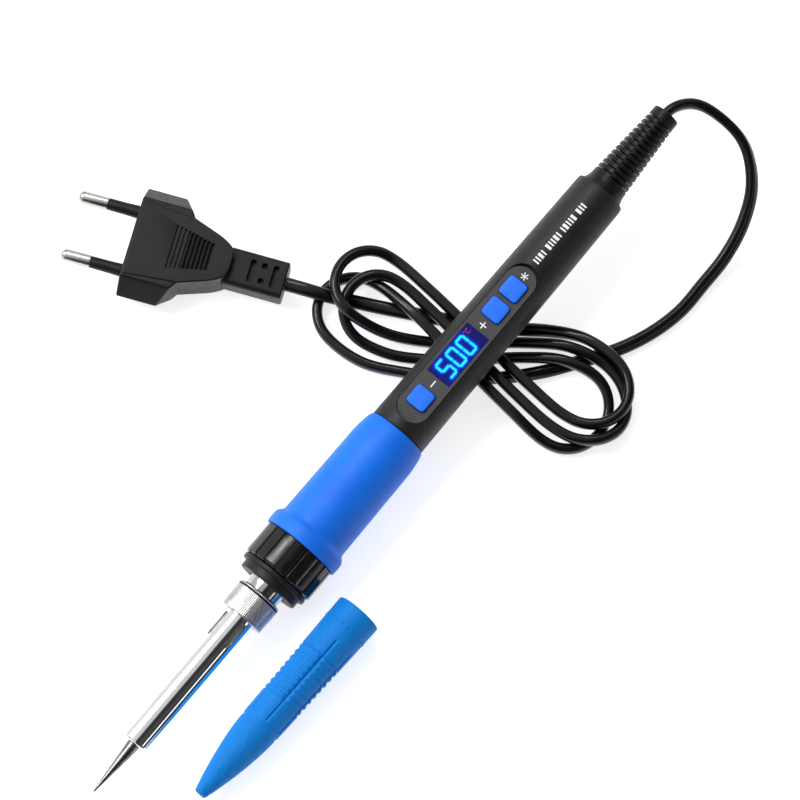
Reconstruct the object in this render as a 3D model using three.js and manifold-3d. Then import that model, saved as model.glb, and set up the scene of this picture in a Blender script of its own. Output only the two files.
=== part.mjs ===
// Mains soldering iron with a digital temperature control, its lead, its two-pin plug and
// the slip-on cap that covers the hot end. Millimetres, +Z up. The iron lies on the flange of
// its grip and on its own lead, which is wound into a figure of eight under the handle.
import * as THREE from 'three';
import { mergeVertices } from 'three/addons/utils/BufferGeometryUtils.js';
import Module from 'manifold-3d';

const wasm = await Module();
wasm.setup();

// ---------------------------------------------------------------- driving dimensions
// Clearance left between neighbouring pieces.
const GAP = 0.3;

// The iron's pose: its axis rises to the rear, because the lead lies under the handle.
const IRON_TILT = THREE.MathUtils.degToRad(4);
const IRON_TIP = new THREE.Vector3(-130.7, 10.1, 5.96);

// Stations along the iron's axis, measured from the point of the tip.
const CONE_END = 18.0;
const BARREL_END = 66.2;
const NUT_END = 75.1;
const FLARE_END = 80.0;
const WASHER_FRONT = 78.2;
const WASHER_STEP = 80.7;
const COLLAR_FRONT = 82.2;
const GRIP_FRONT = 93.2;
const FLANGE_END = 98.7;
const GRIP_END = 137.5;
const HOUSING_END = 231.1;
const BOOT_RIBS_START = 235.5;
const BOOT_RIBS_END = 259.2;
const BOOT_END = 261.7;

// Radii of the turned pieces.
const TIP_BASE_R = 2.0;
const TIP_SHANK_R = 3.8;
const BARREL_R = 4.8;
const BARREL_BORE_R = 4.25;
const NUT_R = 7.15;
const NECK_R = 4.55;
const FLARE_R = 7.4;
const WASHER_R = 9.9;
const WASHER_STEP_R = 11.2;
const COLLAR_R = 11.8;
const FLANGE_R = 12.55;
const GRIP_FRONT_R = 10.9;
const GRIP_REAR_R = 10.6;
const HOUSING_FRONT_R = 9.2;
const HOUSING_REAR_R = 8.05;
const SPIGOT_R = 7.3;
const HEATER_R = 2.6;
const WALL = 1.6;
// The sleeve's four vents are turned this far from the top line.
const VENT_TURN = THREE.MathUtils.degToRad(36);

// Control panel: a long flat sunk into the top of the handle, with round ends.
const PANEL_FRONT = 140.8;
const PANEL_LENGTH = 58.1;
const PANEL_FRONT_R = 5.15;
const PANEL_REAR_R = 4.85;
const PANEL_THICK = 1.0;
const PANEL_FRONT_HEIGHT = 7.5;
const PANEL_DROP = 0.62;
const BUTTON_SIZE = 6.5;
const BUTTON_CORNER = 1.3;
const BUTTON_PROUD = 1.0;
const BUTTON_TRAVEL = 0.5;
const BUTTON_STATIONS = { minus: 148.8, plus: 183.0, set: 191.1 };
const WINDOW_START = 156.6;
const WINDOW_LENGTH = 18.4;
const WINDOW_WIDTH = 8.4;

// Circuit board, measured in the iron's own axes.
const BOARD_START = 140.0;
const BOARD_END = 206;
const BOARD_WIDTH = 11.6;
const BOARD_TOP = 2.2;
const BOARD_THICK = 1.0;
const SCREW_STATIONS = [118, 216];

// Lead and plug (a 2.5 A two-pin plug: 4 mm pins, 19 mm long).
const LEAD_DIAMETER = 4.0;
const LEAD_SIDES = 8;
const LEAD_STEPS = 80;
const PIN_R = 2.0;
const PIN_LENGTH = 19;
const PIN_SLEEVE_LENGTH = 10;
const PIN_SPACING = 18.6;
const PLUG_FACE_WIDTH = 35.3;
const PLUG_HEIGHT = 13.7;
const PLUG_FLAT_WIDTH = 25.4;
const PLUG_BLOCK_LENGTH = 18;
const PLUG_TONGUE_LENGTH = 31;
const PLUG_BOOT_END = 47.6;
const PLUG_BOOT_WIDTH = 11.6;
const PLUG_BOOT_HEIGHT = 8.6;
const PLUG_ENTRY = new THREE.Vector3(22, 66, 6.85);
const PLUG_HEADING = THREE.MathUtils.degToRad(114);
const PLUG_APPROACH = 6.5;

// Cap: lies beside the iron, closed end forward.
const CAP_LENGTH = 71.0;
const CAP_MOUTH_R = 7.2;
const CAP_SHOULDER_R = 6.4;
const CAP_NOSE = 26;
const CAP_BORE_R = 5.6;
const CAP_START = new THREE.Vector3(-111.6, -14.0, 6.06);
const CAP_YAW = THREE.MathUtils.degToRad(-0.75);
const CAP_PITCH = THREE.MathUtils.degToRad(0.9);

// ---------------------------------------------------------------- materials
function finish(color, roughness, metalness) {
  return { color, roughness, metalness };
}

const DARK_STEEL = finish(0x4a4744, 0.35, 1.0);
const CHROME = finish(0xd8d8da, 0.12, 1.0);
const CERAMIC = finish(0xe9e4d8, 0.6, 0.0);
const GLOSS_BLACK = finish(0x101011, 0.15, 0.0);
const MATT_BLACK = finish(0x2a2a2c, 0.5, 0.0);
const SOFT_BLUE = finish(0x1f6df2, 0.55, 0.0);
const CAP_BLUE = finish(0x1479e0, 0.65, 0.0);
const PANEL_GREY = finish(0x4a4a4d, 0.5, 0.0);
const DISPLAY_NAVY = finish(0x101a80, 0.1, 0.0);
const BOARD_GREEN = finish(0x1d5a33, 0.5, 0.0);
const LEAD_BLACK = finish(0x141414, 0.35, 0.0);
const NICKEL = finish(0xcfcac4, 0.18, 1.0);
const COPPER_RED = finish(0xa83a22, 0.5, 0.0);
const COPPER_WHITE = finish(0xd9d6cf, 0.5, 0.0);

// ---------------------------------------------------------------- helpers
function toSolid(geometry) {
  const bare = geometry.clone();
  bare.deleteAttribute('normal');
  bare.deleteAttribute('uv');
  const merged = mergeVertices(bare, 1e-5);
  return new wasm.Manifold(new wasm.Mesh({
    numProp: 3,
    vertProperties: new Float32Array(merged.attributes.position.array),
    triVerts: new Uint32Array(merged.index.array),
  }));
}

function toGeometry(solid) {
  const mesh = solid.getMesh();
  const geometry = new THREE.BufferGeometry();
  geometry.setAttribute('position', new THREE.BufferAttribute(new Float32Array(mesh.vertProperties), 3));
  geometry.setIndex(new THREE.BufferAttribute(new Uint32Array(mesh.triVerts), 1));
  return geometry;
}

function cut(geometry, ...tools) {
  const solid = tools.reduce((left, tool) => left.subtract(toSolid(tool)), toSolid(geometry));
  return toGeometry(solid);
}

function join(...geometries) {
  return toGeometry(geometries.map(toSolid).reduce((left, right) => left.add(right)));
}

function keep(geometry, region) {
  return toGeometry(toSolid(geometry).intersect(toSolid(region)));
}

function piece(name, geometry, look) {
  geometry.computeVertexNormals();
  const mesh = new THREE.Mesh(geometry, new THREE.MeshStandardMaterial(look));
  mesh.name = name;
  return mesh;
}

// A solid turned about the X axis from [station, radius] points, outside from front to rear.
function turned(points, segments = 30) {
  const profile = points.map(([station, radius]) => new THREE.Vector2(radius, station));
  return new THREE.LatheGeometry(profile, segments).rotateZ(-Math.PI / 2);
}

// A tube turned about the X axis: outside points front to rear, bore points rear to front.
function turnedTube(outside, bore, segments = 30) {
  return turned([...outside, ...bore, outside[0]], segments);
}

function rod(start, end, radius, segments = 24) {
  return turned([[start, 0], [start, radius], [end, radius], [end, 0]], segments);
}

// A box from its lowest corner and its size.
function block(x, y, z, sizeX, sizeY, sizeZ) {
  return new THREE.BoxGeometry(sizeX, sizeY, sizeZ).translate(x + sizeX / 2, y + sizeY / 2, z + sizeZ / 2);
}

// An upright plate with the given outline in X and Y, from zLow to zHigh.
function plate(outline, zLow, zHigh, curveSegments = 8) {
  const options = { depth: zHigh - zLow, bevelEnabled: false, curveSegments };
  return new THREE.ExtrudeGeometry(outline, options).translate(0, 0, zLow);
}

function post(x, y, radius, zLow, zHigh) {
  const height = zHigh - zLow;
  return new THREE.CylinderGeometry(radius, radius, height, 20).rotateX(Math.PI / 2)
    .translate(x, y, (zLow + zHigh) / 2);
}

// Outline with a round end of its own radius at each end, from x = 0 to x = length.
function roundEndedOutline(length, frontR, rearR) {
  const shape = new THREE.Shape();
  shape.absarc(frontR, 0, frontR, Math.PI / 2, 3 * Math.PI / 2, false);
  shape.absarc(length - rearR, 0, rearR, -Math.PI / 2, Math.PI / 2, false);
  shape.closePath();
  return shape;
}

// Outline of a rectangle about the origin with rounded corners.
function roundedRectangle(width, height, corner) {
  const x = width / 2;
  const y = height / 2;
  const shape = new THREE.Shape();
  shape.absarc(x - corner, y - corner, corner, 0, Math.PI / 2, false);
  shape.absarc(corner - x, y - corner, corner, Math.PI / 2, Math.PI, false);
  shape.absarc(corner - x, corner - y, corner, Math.PI, 3 * Math.PI / 2, false);
  shape.absarc(x - corner, corner - y, corner, -Math.PI / 2, 0, false);
  shape.closePath();
  return shape;
}

function polygon(points) {
  return new THREE.Shape(points.map(([x, y]) => new THREE.Vector2(x, y)));
}

function wire(points, radius, sides, steps) {
  const places = points.map((point) => new THREE.Vector3(...point));
  const path = new THREE.CatmullRomCurve3(places, false, 'centripetal');
  const section = polygon(Array.from({ length: sides }, (_, i) => {
    const angle = 2 * Math.PI * (i + 0.5) / sides;
    return [radius * Math.cos(angle), radius * Math.sin(angle)];
  }));
  return new THREE.ExtrudeGeometry(section, { steps, extrudePath: path, bevelEnabled: false });
}

function mix(a, b, t) {
  return a + (b - a) * t;
}

// ---------------------------------------------------------------- hot end
function solderingTip() {
  const shoulder = CONE_END + 1.1 + GAP;
  const outside = [
    [0, 0], [0.15, 0.15], [CONE_END, TIP_BASE_R], [shoulder, TIP_BASE_R], [shoulder, TIP_SHANK_R],
    [shoulder + 27, TIP_SHANK_R],
  ];
  const bore = [[shoulder + 27, HEATER_R + GAP], [CONE_END + 5, HEATER_R + GAP], [CONE_END + 4, 0]];
  return piece('soldering_tip', turned([...outside, ...bore], 20), DARK_STEEL);
}

function heaterElement() {
  return piece('heater_element', rod(CONE_END + 6, 86, HEATER_R, 20), CERAMIC);
}

function heaterFlange() {
  const front = FLARE_END + 0.6 + GAP;
  const outside = [[front, HEATER_R + GAP], [front, 7.2], [front + 2, 7.2]];
  return piece('heater_flange', turnedTube(outside, [[front + 2, HEATER_R + GAP]], 20), CERAMIC);
}

// Vented steel sleeve: its front shoulder holds the tip, its rear flange is held by the nut.
function barrelTube() {
  const flange = BARREL_END + 1.6;
  const outside = [
    [CONE_END, TIP_BASE_R + GAP], [CONE_END, BARREL_R - 1.2], [CONE_END + 0.35, BARREL_R - 0.35],
    [CONE_END + 1.2, BARREL_R], [flange, BARREL_R], [flange, 5.7], [flange + 0.9, 5.7],
  ];
  const bore = [
    [flange + 0.9, BARREL_BORE_R], [CONE_END + 1.1, BARREL_BORE_R], [CONE_END + 1.1, TIP_BASE_R + GAP],
  ];
  const tube = turnedTube(outside, bore, 24);
  const vents = [0, 1, 2, 3].map((i) => (
    block(56.3, -1, 3, 8.9, 2, 3).rotateX(VENT_TURN + i * Math.PI / 2)
  ));
  return piece('barrel_tube', cut(tube, ...vents), CHROME);
}

// Knurled union nut: plain front wall with a hole for the sleeve, bore for the neck's thread.
function barrelNut() {
  const teeth = 30;
  const tooth = 0.35;
  const outline = polygon(Array.from({ length: 2 * teeth }, (_, i) => {
    const radius = i % 2 ? NUT_R : NUT_R - tooth;
    const angle = Math.PI * i / teeth;
    return [radius * Math.cos(angle), radius * Math.sin(angle)];
  }));
  const knurled = plate(outline, BARREL_END, NUT_END, 1).rotateY(Math.PI / 2);
  const chamberFront = BARREL_END + 1.3;
  const chamberRear = BARREL_END + 2.8;
  const bore = turned([
    [BARREL_END - 1, 0], [BARREL_END - 1, BARREL_R + GAP], [chamberFront, BARREL_R + GAP],
    [chamberFront, 6.0], [chamberRear, 6.0], [chamberRear, NECK_R + GAP], [NUT_END + 1, NECK_R + GAP],
    [NUT_END + 1, 0],
  ], 30);
  return piece('barrel_nut', cut(knurled, bore), CHROME);
}

// Radius of the neck's flare at a station behind the nut.
function flareRadius(station) {
  const t = Math.max(0, (station - NUT_END) / (FLARE_END - NUT_END));
  return NECK_R + (FLARE_R - NECK_R) * t * t;
}

function threadedNeck() {
  const flare = Array.from({ length: 6 }, (_, i) => mix(NUT_END + 0.4, FLARE_END, i / 5));
  const outside = [
    [BARREL_END + 3.1, HEATER_R + 0.7], [BARREL_END + 3.1, NECK_R],
    ...flare.map((station) => [station, flareRadius(station)]), [FLARE_END + 0.6, FLARE_R],
  ];
  return piece('threaded_neck', turnedTube(outside, [[FLARE_END + 0.6, HEATER_R + 0.7]], 24), CHROME);
}

function neckWasher() {
  const front = flareRadius(WASHER_FRONT) + 0.5;
  const outside = [
    [WASHER_FRONT, front], [WASHER_FRONT, WASHER_R - 0.4], [WASHER_FRONT + 0.4, WASHER_R],
    [WASHER_STEP, WASHER_R], [WASHER_STEP, WASHER_STEP_R], [COLLAR_FRONT - GAP, WASHER_STEP_R],
  ];
  const bore = [[COLLAR_FRONT - GAP, FLARE_R + 0.4], [FLARE_END, FLARE_R + 0.4]];
  return piece('neck_washer', turnedTube(outside, bore, 28), GLOSS_BLACK);
}

function flutedCollar() {
  const flutes = 18;
  const rear = GRIP_FRONT - GAP;
  const bore = SPIGOT_R + GAP;
  const outside = [
    [COLLAR_FRONT, bore], [COLLAR_FRONT, COLLAR_R - 0.7], [COLLAR_FRONT + 1.2, COLLAR_R], [rear, COLLAR_R],
  ];
  const ring = turnedTube(outside, [[rear, bore]], 36);
  const grooves = Array.from({ length: flutes }, (_, i) => (
    block(COLLAR_FRONT - 1, -0.35, COLLAR_R - 0.7, rear - COLLAR_FRONT, 0.7, 3)
      .rotateX(2 * Math.PI * i / flutes)
  ));
  return piece('fluted_collar', cut(ring, ...grooves), GLOSS_BLACK);
}

// ---------------------------------------------------------------- handle
function gripSleeve() {
  const bore = SPIGOT_R + GAP;
  const outside = [
    [GRIP_FRONT, bore], [GRIP_FRONT, FLANGE_R - 0.9], [GRIP_FRONT + 0.3, FLANGE_R - 0.3],
    [GRIP_FRONT + 1.1, FLANGE_R], [FLANGE_END - 1.5, FLANGE_R], [FLANGE_END - 0.4, FLANGE_R - 0.5],
    [FLANGE_END, GRIP_FRONT_R + 0.5], [FLANGE_END + 0.6, GRIP_FRONT_R], [GRIP_END - 6, GRIP_REAR_R],
    [GRIP_END - 2.4, GRIP_REAR_R - 0.35], [GRIP_END - 0.6, GRIP_REAR_R - 0.9], [GRIP_END, GRIP_REAR_R - 1.6],
  ];
  return piece('grip_sleeve', turnedTube(outside, [[GRIP_END, bore]], 32), SOFT_BLUE);
}

function housingRadius(station) {
  return mix(HOUSING_FRONT_R, HOUSING_REAR_R, (station - GRIP_END) / (HOUSING_END - GRIP_END));
}

// The whole handle before it is split: a front spigot inside the grip and a tapered body.
function housingShell() {
  const front = COLLAR_FRONT + 1.0;
  const shoulder = GRIP_END + GAP;
  const outside = [
    [front, SPIGOT_R - WALL], [front, SPIGOT_R], [shoulder, SPIGOT_R], [shoulder, HOUSING_FRONT_R],
    [HOUSING_END - 2, housingRadius(HOUSING_END - 2)], [HOUSING_END - 0.6, HOUSING_REAR_R - 0.5],
    [HOUSING_END, HOUSING_REAR_R - 1.7],
  ];
  const rearWall = HOUSING_END - 3.6;
  const bore = [
    [HOUSING_END, 4.9], [rearWall, 4.9], [rearWall, housingRadius(rearWall) - WALL],
    [shoulder + 1.8, HOUSING_FRONT_R - WALL], [shoulder - 1.5, SPIGOT_R - WALL],
  ];
  return turnedTube(outside, bore, 36);
}

// Moves a shape from the panel's own axes, with its top face at z = 0, into the iron's axes.
function onPanel(geometry) {
  return geometry.rotateY(PANEL_DROP / PANEL_LENGTH).translate(PANEL_FRONT, 0, PANEL_FRONT_HEIGHT);
}

function panelHeight(station) {
  return PANEL_FRONT_HEIGHT - PANEL_DROP * (station - PANEL_FRONT) / PANEL_LENGTH;
}

function panelPocket() {
  const outline = roundEndedOutline(PANEL_LENGTH + 2 * GAP, PANEL_FRONT_R + GAP, PANEL_REAR_R + GAP);
  const window = roundEndedOutline(PANEL_LENGTH - 2, PANEL_FRONT_R - 1.2, PANEL_REAR_R - 0.95);
  const pocket = plate(outline, -PANEL_THICK - GAP, 4, 12).translate(-GAP, 0, 0);
  const opening = plate(window, -5, 0, 12).translate(1, 0, 0);
  return [onPanel(pocket), onPanel(opening)];
}

function housingHalf(name, side) {
  const region = side > 0
    ? block(70, -15, GAP / 2, 180, 30, 20)
    : block(70, -15, -20 - GAP / 2, 180, 30, 20);
  let half = keep(housingShell(), region);
  for (const station of SCREW_STATIONS) {
    const inner = (station < GRIP_END ? SPIGOT_R : housingRadius(station)) - WALL + 0.4;
    const boss = side > 0
      ? post(station, 0, 2.6, GAP / 2, inner)
      : post(station, 0, 2.6, -inner, -GAP / 2);
    half = join(half, boss);
    half = side > 0
      ? cut(half, post(station, 0, 1.4, -1, 4.6))
      : cut(half, post(station, 0, 1.4, -9, 1), post(station, 0, 2.2, -12, -inner + 1.4));
  }
  if (side > 0) half = cut(half, ...panelPocket());
  return piece(name, half, MATT_BLACK);
}

function housingScrew(name, station) {
  const inner = (station < GRIP_END ? SPIGOT_R : housingRadius(station)) - WALL + 0.4;
  const seat = -inner + 1.4 - GAP;
  const shank = post(station, 0, 1.1, seat - 0.2, 4.2);
  const driverSlot = block(station - 1.5, -0.3, seat - 1.6, 3, 0.6, 0.9);
  const head = cut(post(station, 0, 1.9, seat - 1.3, seat), driverSlot);
  return piece(name, join(shank, head), NICKEL);
}

// ---------------------------------------------------------------- controls
function controlPanel() {
  const outline = roundEndedOutline(PANEL_LENGTH, PANEL_FRONT_R, PANEL_REAR_R);
  const hole = roundedRectangle(BUTTON_SIZE + 2 * GAP, BUTTON_SIZE + 2 * GAP, BUTTON_CORNER + GAP);
  const holes = Object.values(BUTTON_STATIONS).map((station) => (
    plate(hole, -3, 3, 4).translate(station - PANEL_FRONT, 0, 0)
  ));
  const windowHole = block(
    WINDOW_START - PANEL_FRONT - GAP, -WINDOW_WIDTH / 2 - GAP, -3,
    WINDOW_LENGTH + 2 * GAP, WINDOW_WIDTH + 2 * GAP, 6,
  );
  const panel = cut(plate(outline, -PANEL_THICK, 0, 12), ...holes, windowHole);
  return piece('control_panel', onPanel(panel), PANEL_GREY);
}

function displayWindow() {
  const start = WINDOW_START - PANEL_FRONT;
  const glass = block(start, -WINDOW_WIDTH / 2, -PANEL_THICK, WINDOW_LENGTH, WINDOW_WIDTH, PANEL_THICK);
  return piece('display_window', onPanel(glass), DISPLAY_NAVY);
}

function displayModule() {
  const module = block(WINDOW_START + 0.6, -3.6, BOARD_TOP + GAP, WINDOW_LENGTH - 1.2, 7.2, 2.9);
  return piece('display_module', module, MATT_BLACK);
}

// Button cap with a square retaining flange under the panel.
function button(name, station) {
  const top = roundedRectangle(BUTTON_SIZE, BUTTON_SIZE, BUTTON_CORNER);
  const foot = roundedRectangle(BUTTON_SIZE + 0.8, BUTTON_SIZE + 0.8, BUTTON_CORNER);
  const flangeTop = -PANEL_THICK - GAP - 0.3;
  const cap = join(plate(top, flangeTop - 0.4, BUTTON_PROUD, 4), plate(foot, flangeTop - 0.8, flangeTop, 4));
  return piece(name, onPanel(cap.translate(station - PANEL_FRONT, 0, 0)), SOFT_BLUE);
}

function tactSwitch(name, station) {
  const buttonFoot = panelHeight(station) - PANEL_THICK - GAP - 1.1;
  const top = buttonFoot - BUTTON_TRAVEL - 0.4;
  const base = block(station - 2.5, -2.5, BOARD_TOP + GAP, 5, 5, top - 0.5 - BOARD_TOP - GAP);
  return piece(name, join(base, post(station, 0, 1.2, top - 0.8, top)), MATT_BLACK);
}

function boardParts() {
  const under = BOARD_TOP - BOARD_THICK - GAP;
  const board = block(
    BOARD_START, -BOARD_WIDTH / 2, BOARD_TOP - BOARD_THICK, BOARD_END - BOARD_START, BOARD_WIDTH, BOARD_THICK,
  );
  const triac = join(block(160, -4.5, under - 3.6, 9, 9, 3.6), block(155, -4.5, under - 1.2, 5.1, 9, 1.2));
  const capacitor = rod(184, 195, 2.9, 20).translate(0, 0, under - 2.9);
  const chip = block(173, -2.5, under - 1.4, 6.5, 5, 1.4);
  const fuse = join(rod(196.5, 204.5, 1.3, 14), rod(196.5, 198, 1.6, 14), rod(203, 204.5, 1.6, 14))
    .translate(0, 0, under - 1.6);
  return [
    piece('main_board', board, BOARD_GREEN),
    piece('triac', triac, MATT_BLACK),
    piece('capacitor', capacitor, LEAD_BLACK),
    piece('control_chip', chip, MATT_BLACK),
    piece('fuse', fuse, CERAMIC),
  ];
}

// Four heater and sensor wires run back inside the spigot, beside the screw boss.
function heaterWires() {
  const start = FLARE_END + 0.6 + 2 + 2 * GAP + 3.4;
  const corners = [[1, 1], [1, -1], [-1, 1], [-1, -1]];
  return corners.map(([across, up], i) => {
    const points = [
      [start, 1.5 * across, 1.1 * up], [start + 8, 3.2 * across, 1.4 * up],
      [SCREW_STATIONS[0] - 6, 4.1 * across, 1.6 * up], [SCREW_STATIONS[0] + 6, 4.1 * across, 1.6 * up],
      [BOARD_START - GAP - 4, 3.6 * across, 1.7 + 0.6 * up],
      [BOARD_START - GAP, 3.6 * across, 1.7 + 0.6 * up],
    ];
    return piece(`heater_wire_${i + 1}`, wire(points, 0.45, 6, 12), i < 2 ? COPPER_RED : COPPER_WHITE);
  });
}

// The lead's two cores run from the board, either side of the rear screw boss, into the boot.
function mainsCores() {
  return [1, -1].map((side, i) => {
    const points = [
      [BOARD_END + GAP, 3.4 * side, 1.7], [SCREW_STATIONS[1] - 4, 4.1 * side, 1.0],
      [SCREW_STATIONS[1] + 3, 4.0 * side, 0.4], [HOUSING_END - 6, 1.3 * side, 0],
      [HOUSING_END + 1.3, 1.0 * side, 0],
    ];
    return piece(['live_core', 'neutral_core'][i], wire(points, 0.75, 6, 14), i ? DISPLAY_NAVY : COPPER_RED);
  });
}

// Ribbed boot: its inner flange is trapped by the housing's rear wall.
function strainRelief() {
  const ribs = 13;
  const bore = LEAD_DIAMETER / 2 + 3 * GAP;
  const pitch = (BOOT_RIBS_END - BOOT_RIBS_START) / ribs;
  const rearWall = HOUSING_END - 3.6;
  const outside = [
    [rearWall - 2.2, bore], [rearWall - 2.2, 5.9], [rearWall - GAP, 5.9], [rearWall - GAP, 4.6],
    [HOUSING_END + GAP, 4.6], [HOUSING_END + GAP, 6.9], [HOUSING_END + 2, 6.4], [BOOT_RIBS_START, 6.1],
  ];
  for (let i = 0; i < ribs; i += 1) {
    const start = BOOT_RIBS_START + i * pitch;
    const radius = mix(6.1, 4.4, (i + 1) / ribs);
    outside.push([start + 0.01, radius - 1.2], [start + 0.42 * pitch, radius - 1.2]);
    outside.push([start + 0.43 * pitch, radius], [start + pitch, radius]);
  }
  outside.push([BOOT_END, 4.3]);
  return piece('strain_relief', turnedTube(outside, [[BOOT_END, bore]], 12), MATT_BLACK);
}

// ---------------------------------------------------------------- lead
function axisPoint(station) {
  return [
    IRON_TIP.x + station * Math.cos(IRON_TILT), IRON_TIP.y, IRON_TIP.z + station * Math.sin(IRON_TILT),
  ];
}

// The route of the lead's centreline: out of the boot and down in one wide bend, then three turns of a loose
// figure of eight under the handle, then to the plug. LOW rests on the surface and OVER on another strand.
const LOW = 2.3;
const OVER = 6.4;
const LEAD_DROP = [
  axisPoint(233), axisPoint(245), axisPoint(256), axisPoint(264),
  [139, 6, 22], [141, -2, 20], [140, -12, 17], [133, -21, 13], [123, -26, 9], [112, -28, 5], [102, -28, 3],
  [92, -28, LOW], [82, -26, LOW], [72, -22, LOW], [62, -16, LOW], [49, -7, LOW], [36, 6, LOW], [25, 22, LOW],
  [19, 34, LOW],
];
const LEAD_TAIL = [
  [66, -12, OVER], [62, -3, 4], [56, 6, LOW], [47, 20, LOW], [38, 36, LOW], [32, 47, 3], [27, 55, 6],
];

// Each turn of the figure of eight has two lobes, one towards the plug and one away from it. A lobe is half
// an ellipse about its centre x, y, and heights are those of the strand at even steps along it.
const LEAD_TURNS = [
  {
    plugLobe: { x: 29, y: 45, halfWidth: 11, halfLength: 12, heights: [LOW, LOW, LOW, 4] },
    farLobe: { x: 47, y: -22, halfWidth: 12.5, halfLength: 11.5, heights: [4, LOW, LOW, 5] },
  },
  {
    plugLobe: { x: 33.5, y: 40, halfWidth: 10.5, halfLength: 10.5, heights: [5, 8, 8.5, 7] },
    farLobe: { x: 51.5, y: -22, halfWidth: 12.5, halfLength: 15.5, heights: [OVER, 6, 3, 5] },
  },
  {
    plugLobe: { x: 37.5, y: 46, halfWidth: 11, halfLength: 11, heights: [11, 11, 9, OVER] },
    farLobe: { x: 55.5, y: -22, halfWidth: 11.5, halfLength: 13, heights: [OVER, 7, 7, 7] },
  },
];
const LOBE_STEPS = 6;

function heightAt(heights, share) {
  const place = share * (heights.length - 1);
  const before = Math.min(Math.floor(place), heights.length - 2);
  return mix(heights[before], heights[before + 1], place - before);
}

// Half an ellipse from its low-x end, by way of its end in Y on the given side (1 or -1), to its high-x end.
function lobePoints({ x, y, halfWidth, halfLength, heights }, side) {
  return Array.from({ length: LOBE_STEPS + 1 }, (_, i) => {
    const share = i / LOBE_STEPS;
    const angle = Math.PI * (1 - share);
    return [
      x + halfWidth * Math.cos(angle), y + side * halfLength * Math.sin(angle), heightAt(heights, share),
    ];
  });
}

// The run between two lobes: an even way along Y and an S in X, through the given heights.
function runPoints(from, to, heights) {
  return heights.map((height, i) => {
    const share = (i + 1) / (heights.length + 1);
    const sway = share * share * (3 - 2 * share);
    return [mix(from[0], to[0], sway), mix(from[1], to[1], share), height];
  });
}

function leadTurns() {
  const points = [];
  for (const { plugLobe, farLobe } of LEAD_TURNS) {
    const near = lobePoints(plugLobe, 1);
    const far = lobePoints(farLobe, -1);
    if (points.length) {
      const climb = mix(LOW, plugLobe.heights[0], 0.4);
      points.push(...runPoints(points.at(-1), near[0], [OVER, 4, LOW, LOW, climb]));
    }
    points.push(...near, ...runPoints(near.at(-1), far[0], [OVER, OVER, OVER, OVER]), ...far);
  }
  return points;
}

function mainsLead() {
  const heading = new THREE.Vector3(Math.cos(PLUG_HEADING), Math.sin(PLUG_HEADING), 0);
  const approach = PLUG_ENTRY.clone().addScaledVector(heading, -PLUG_APPROACH);
  const end = PLUG_ENTRY.clone().addScaledVector(heading, -GAP);
  const route = [...LEAD_DROP, ...leadTurns(), ...LEAD_TAIL, approach.toArray(), end.toArray()];
  return piece('mains_lead', wire(route, LEAD_DIAMETER / 2, LEAD_SIDES, LEAD_STEPS), LEAD_BLACK);
}

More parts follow.
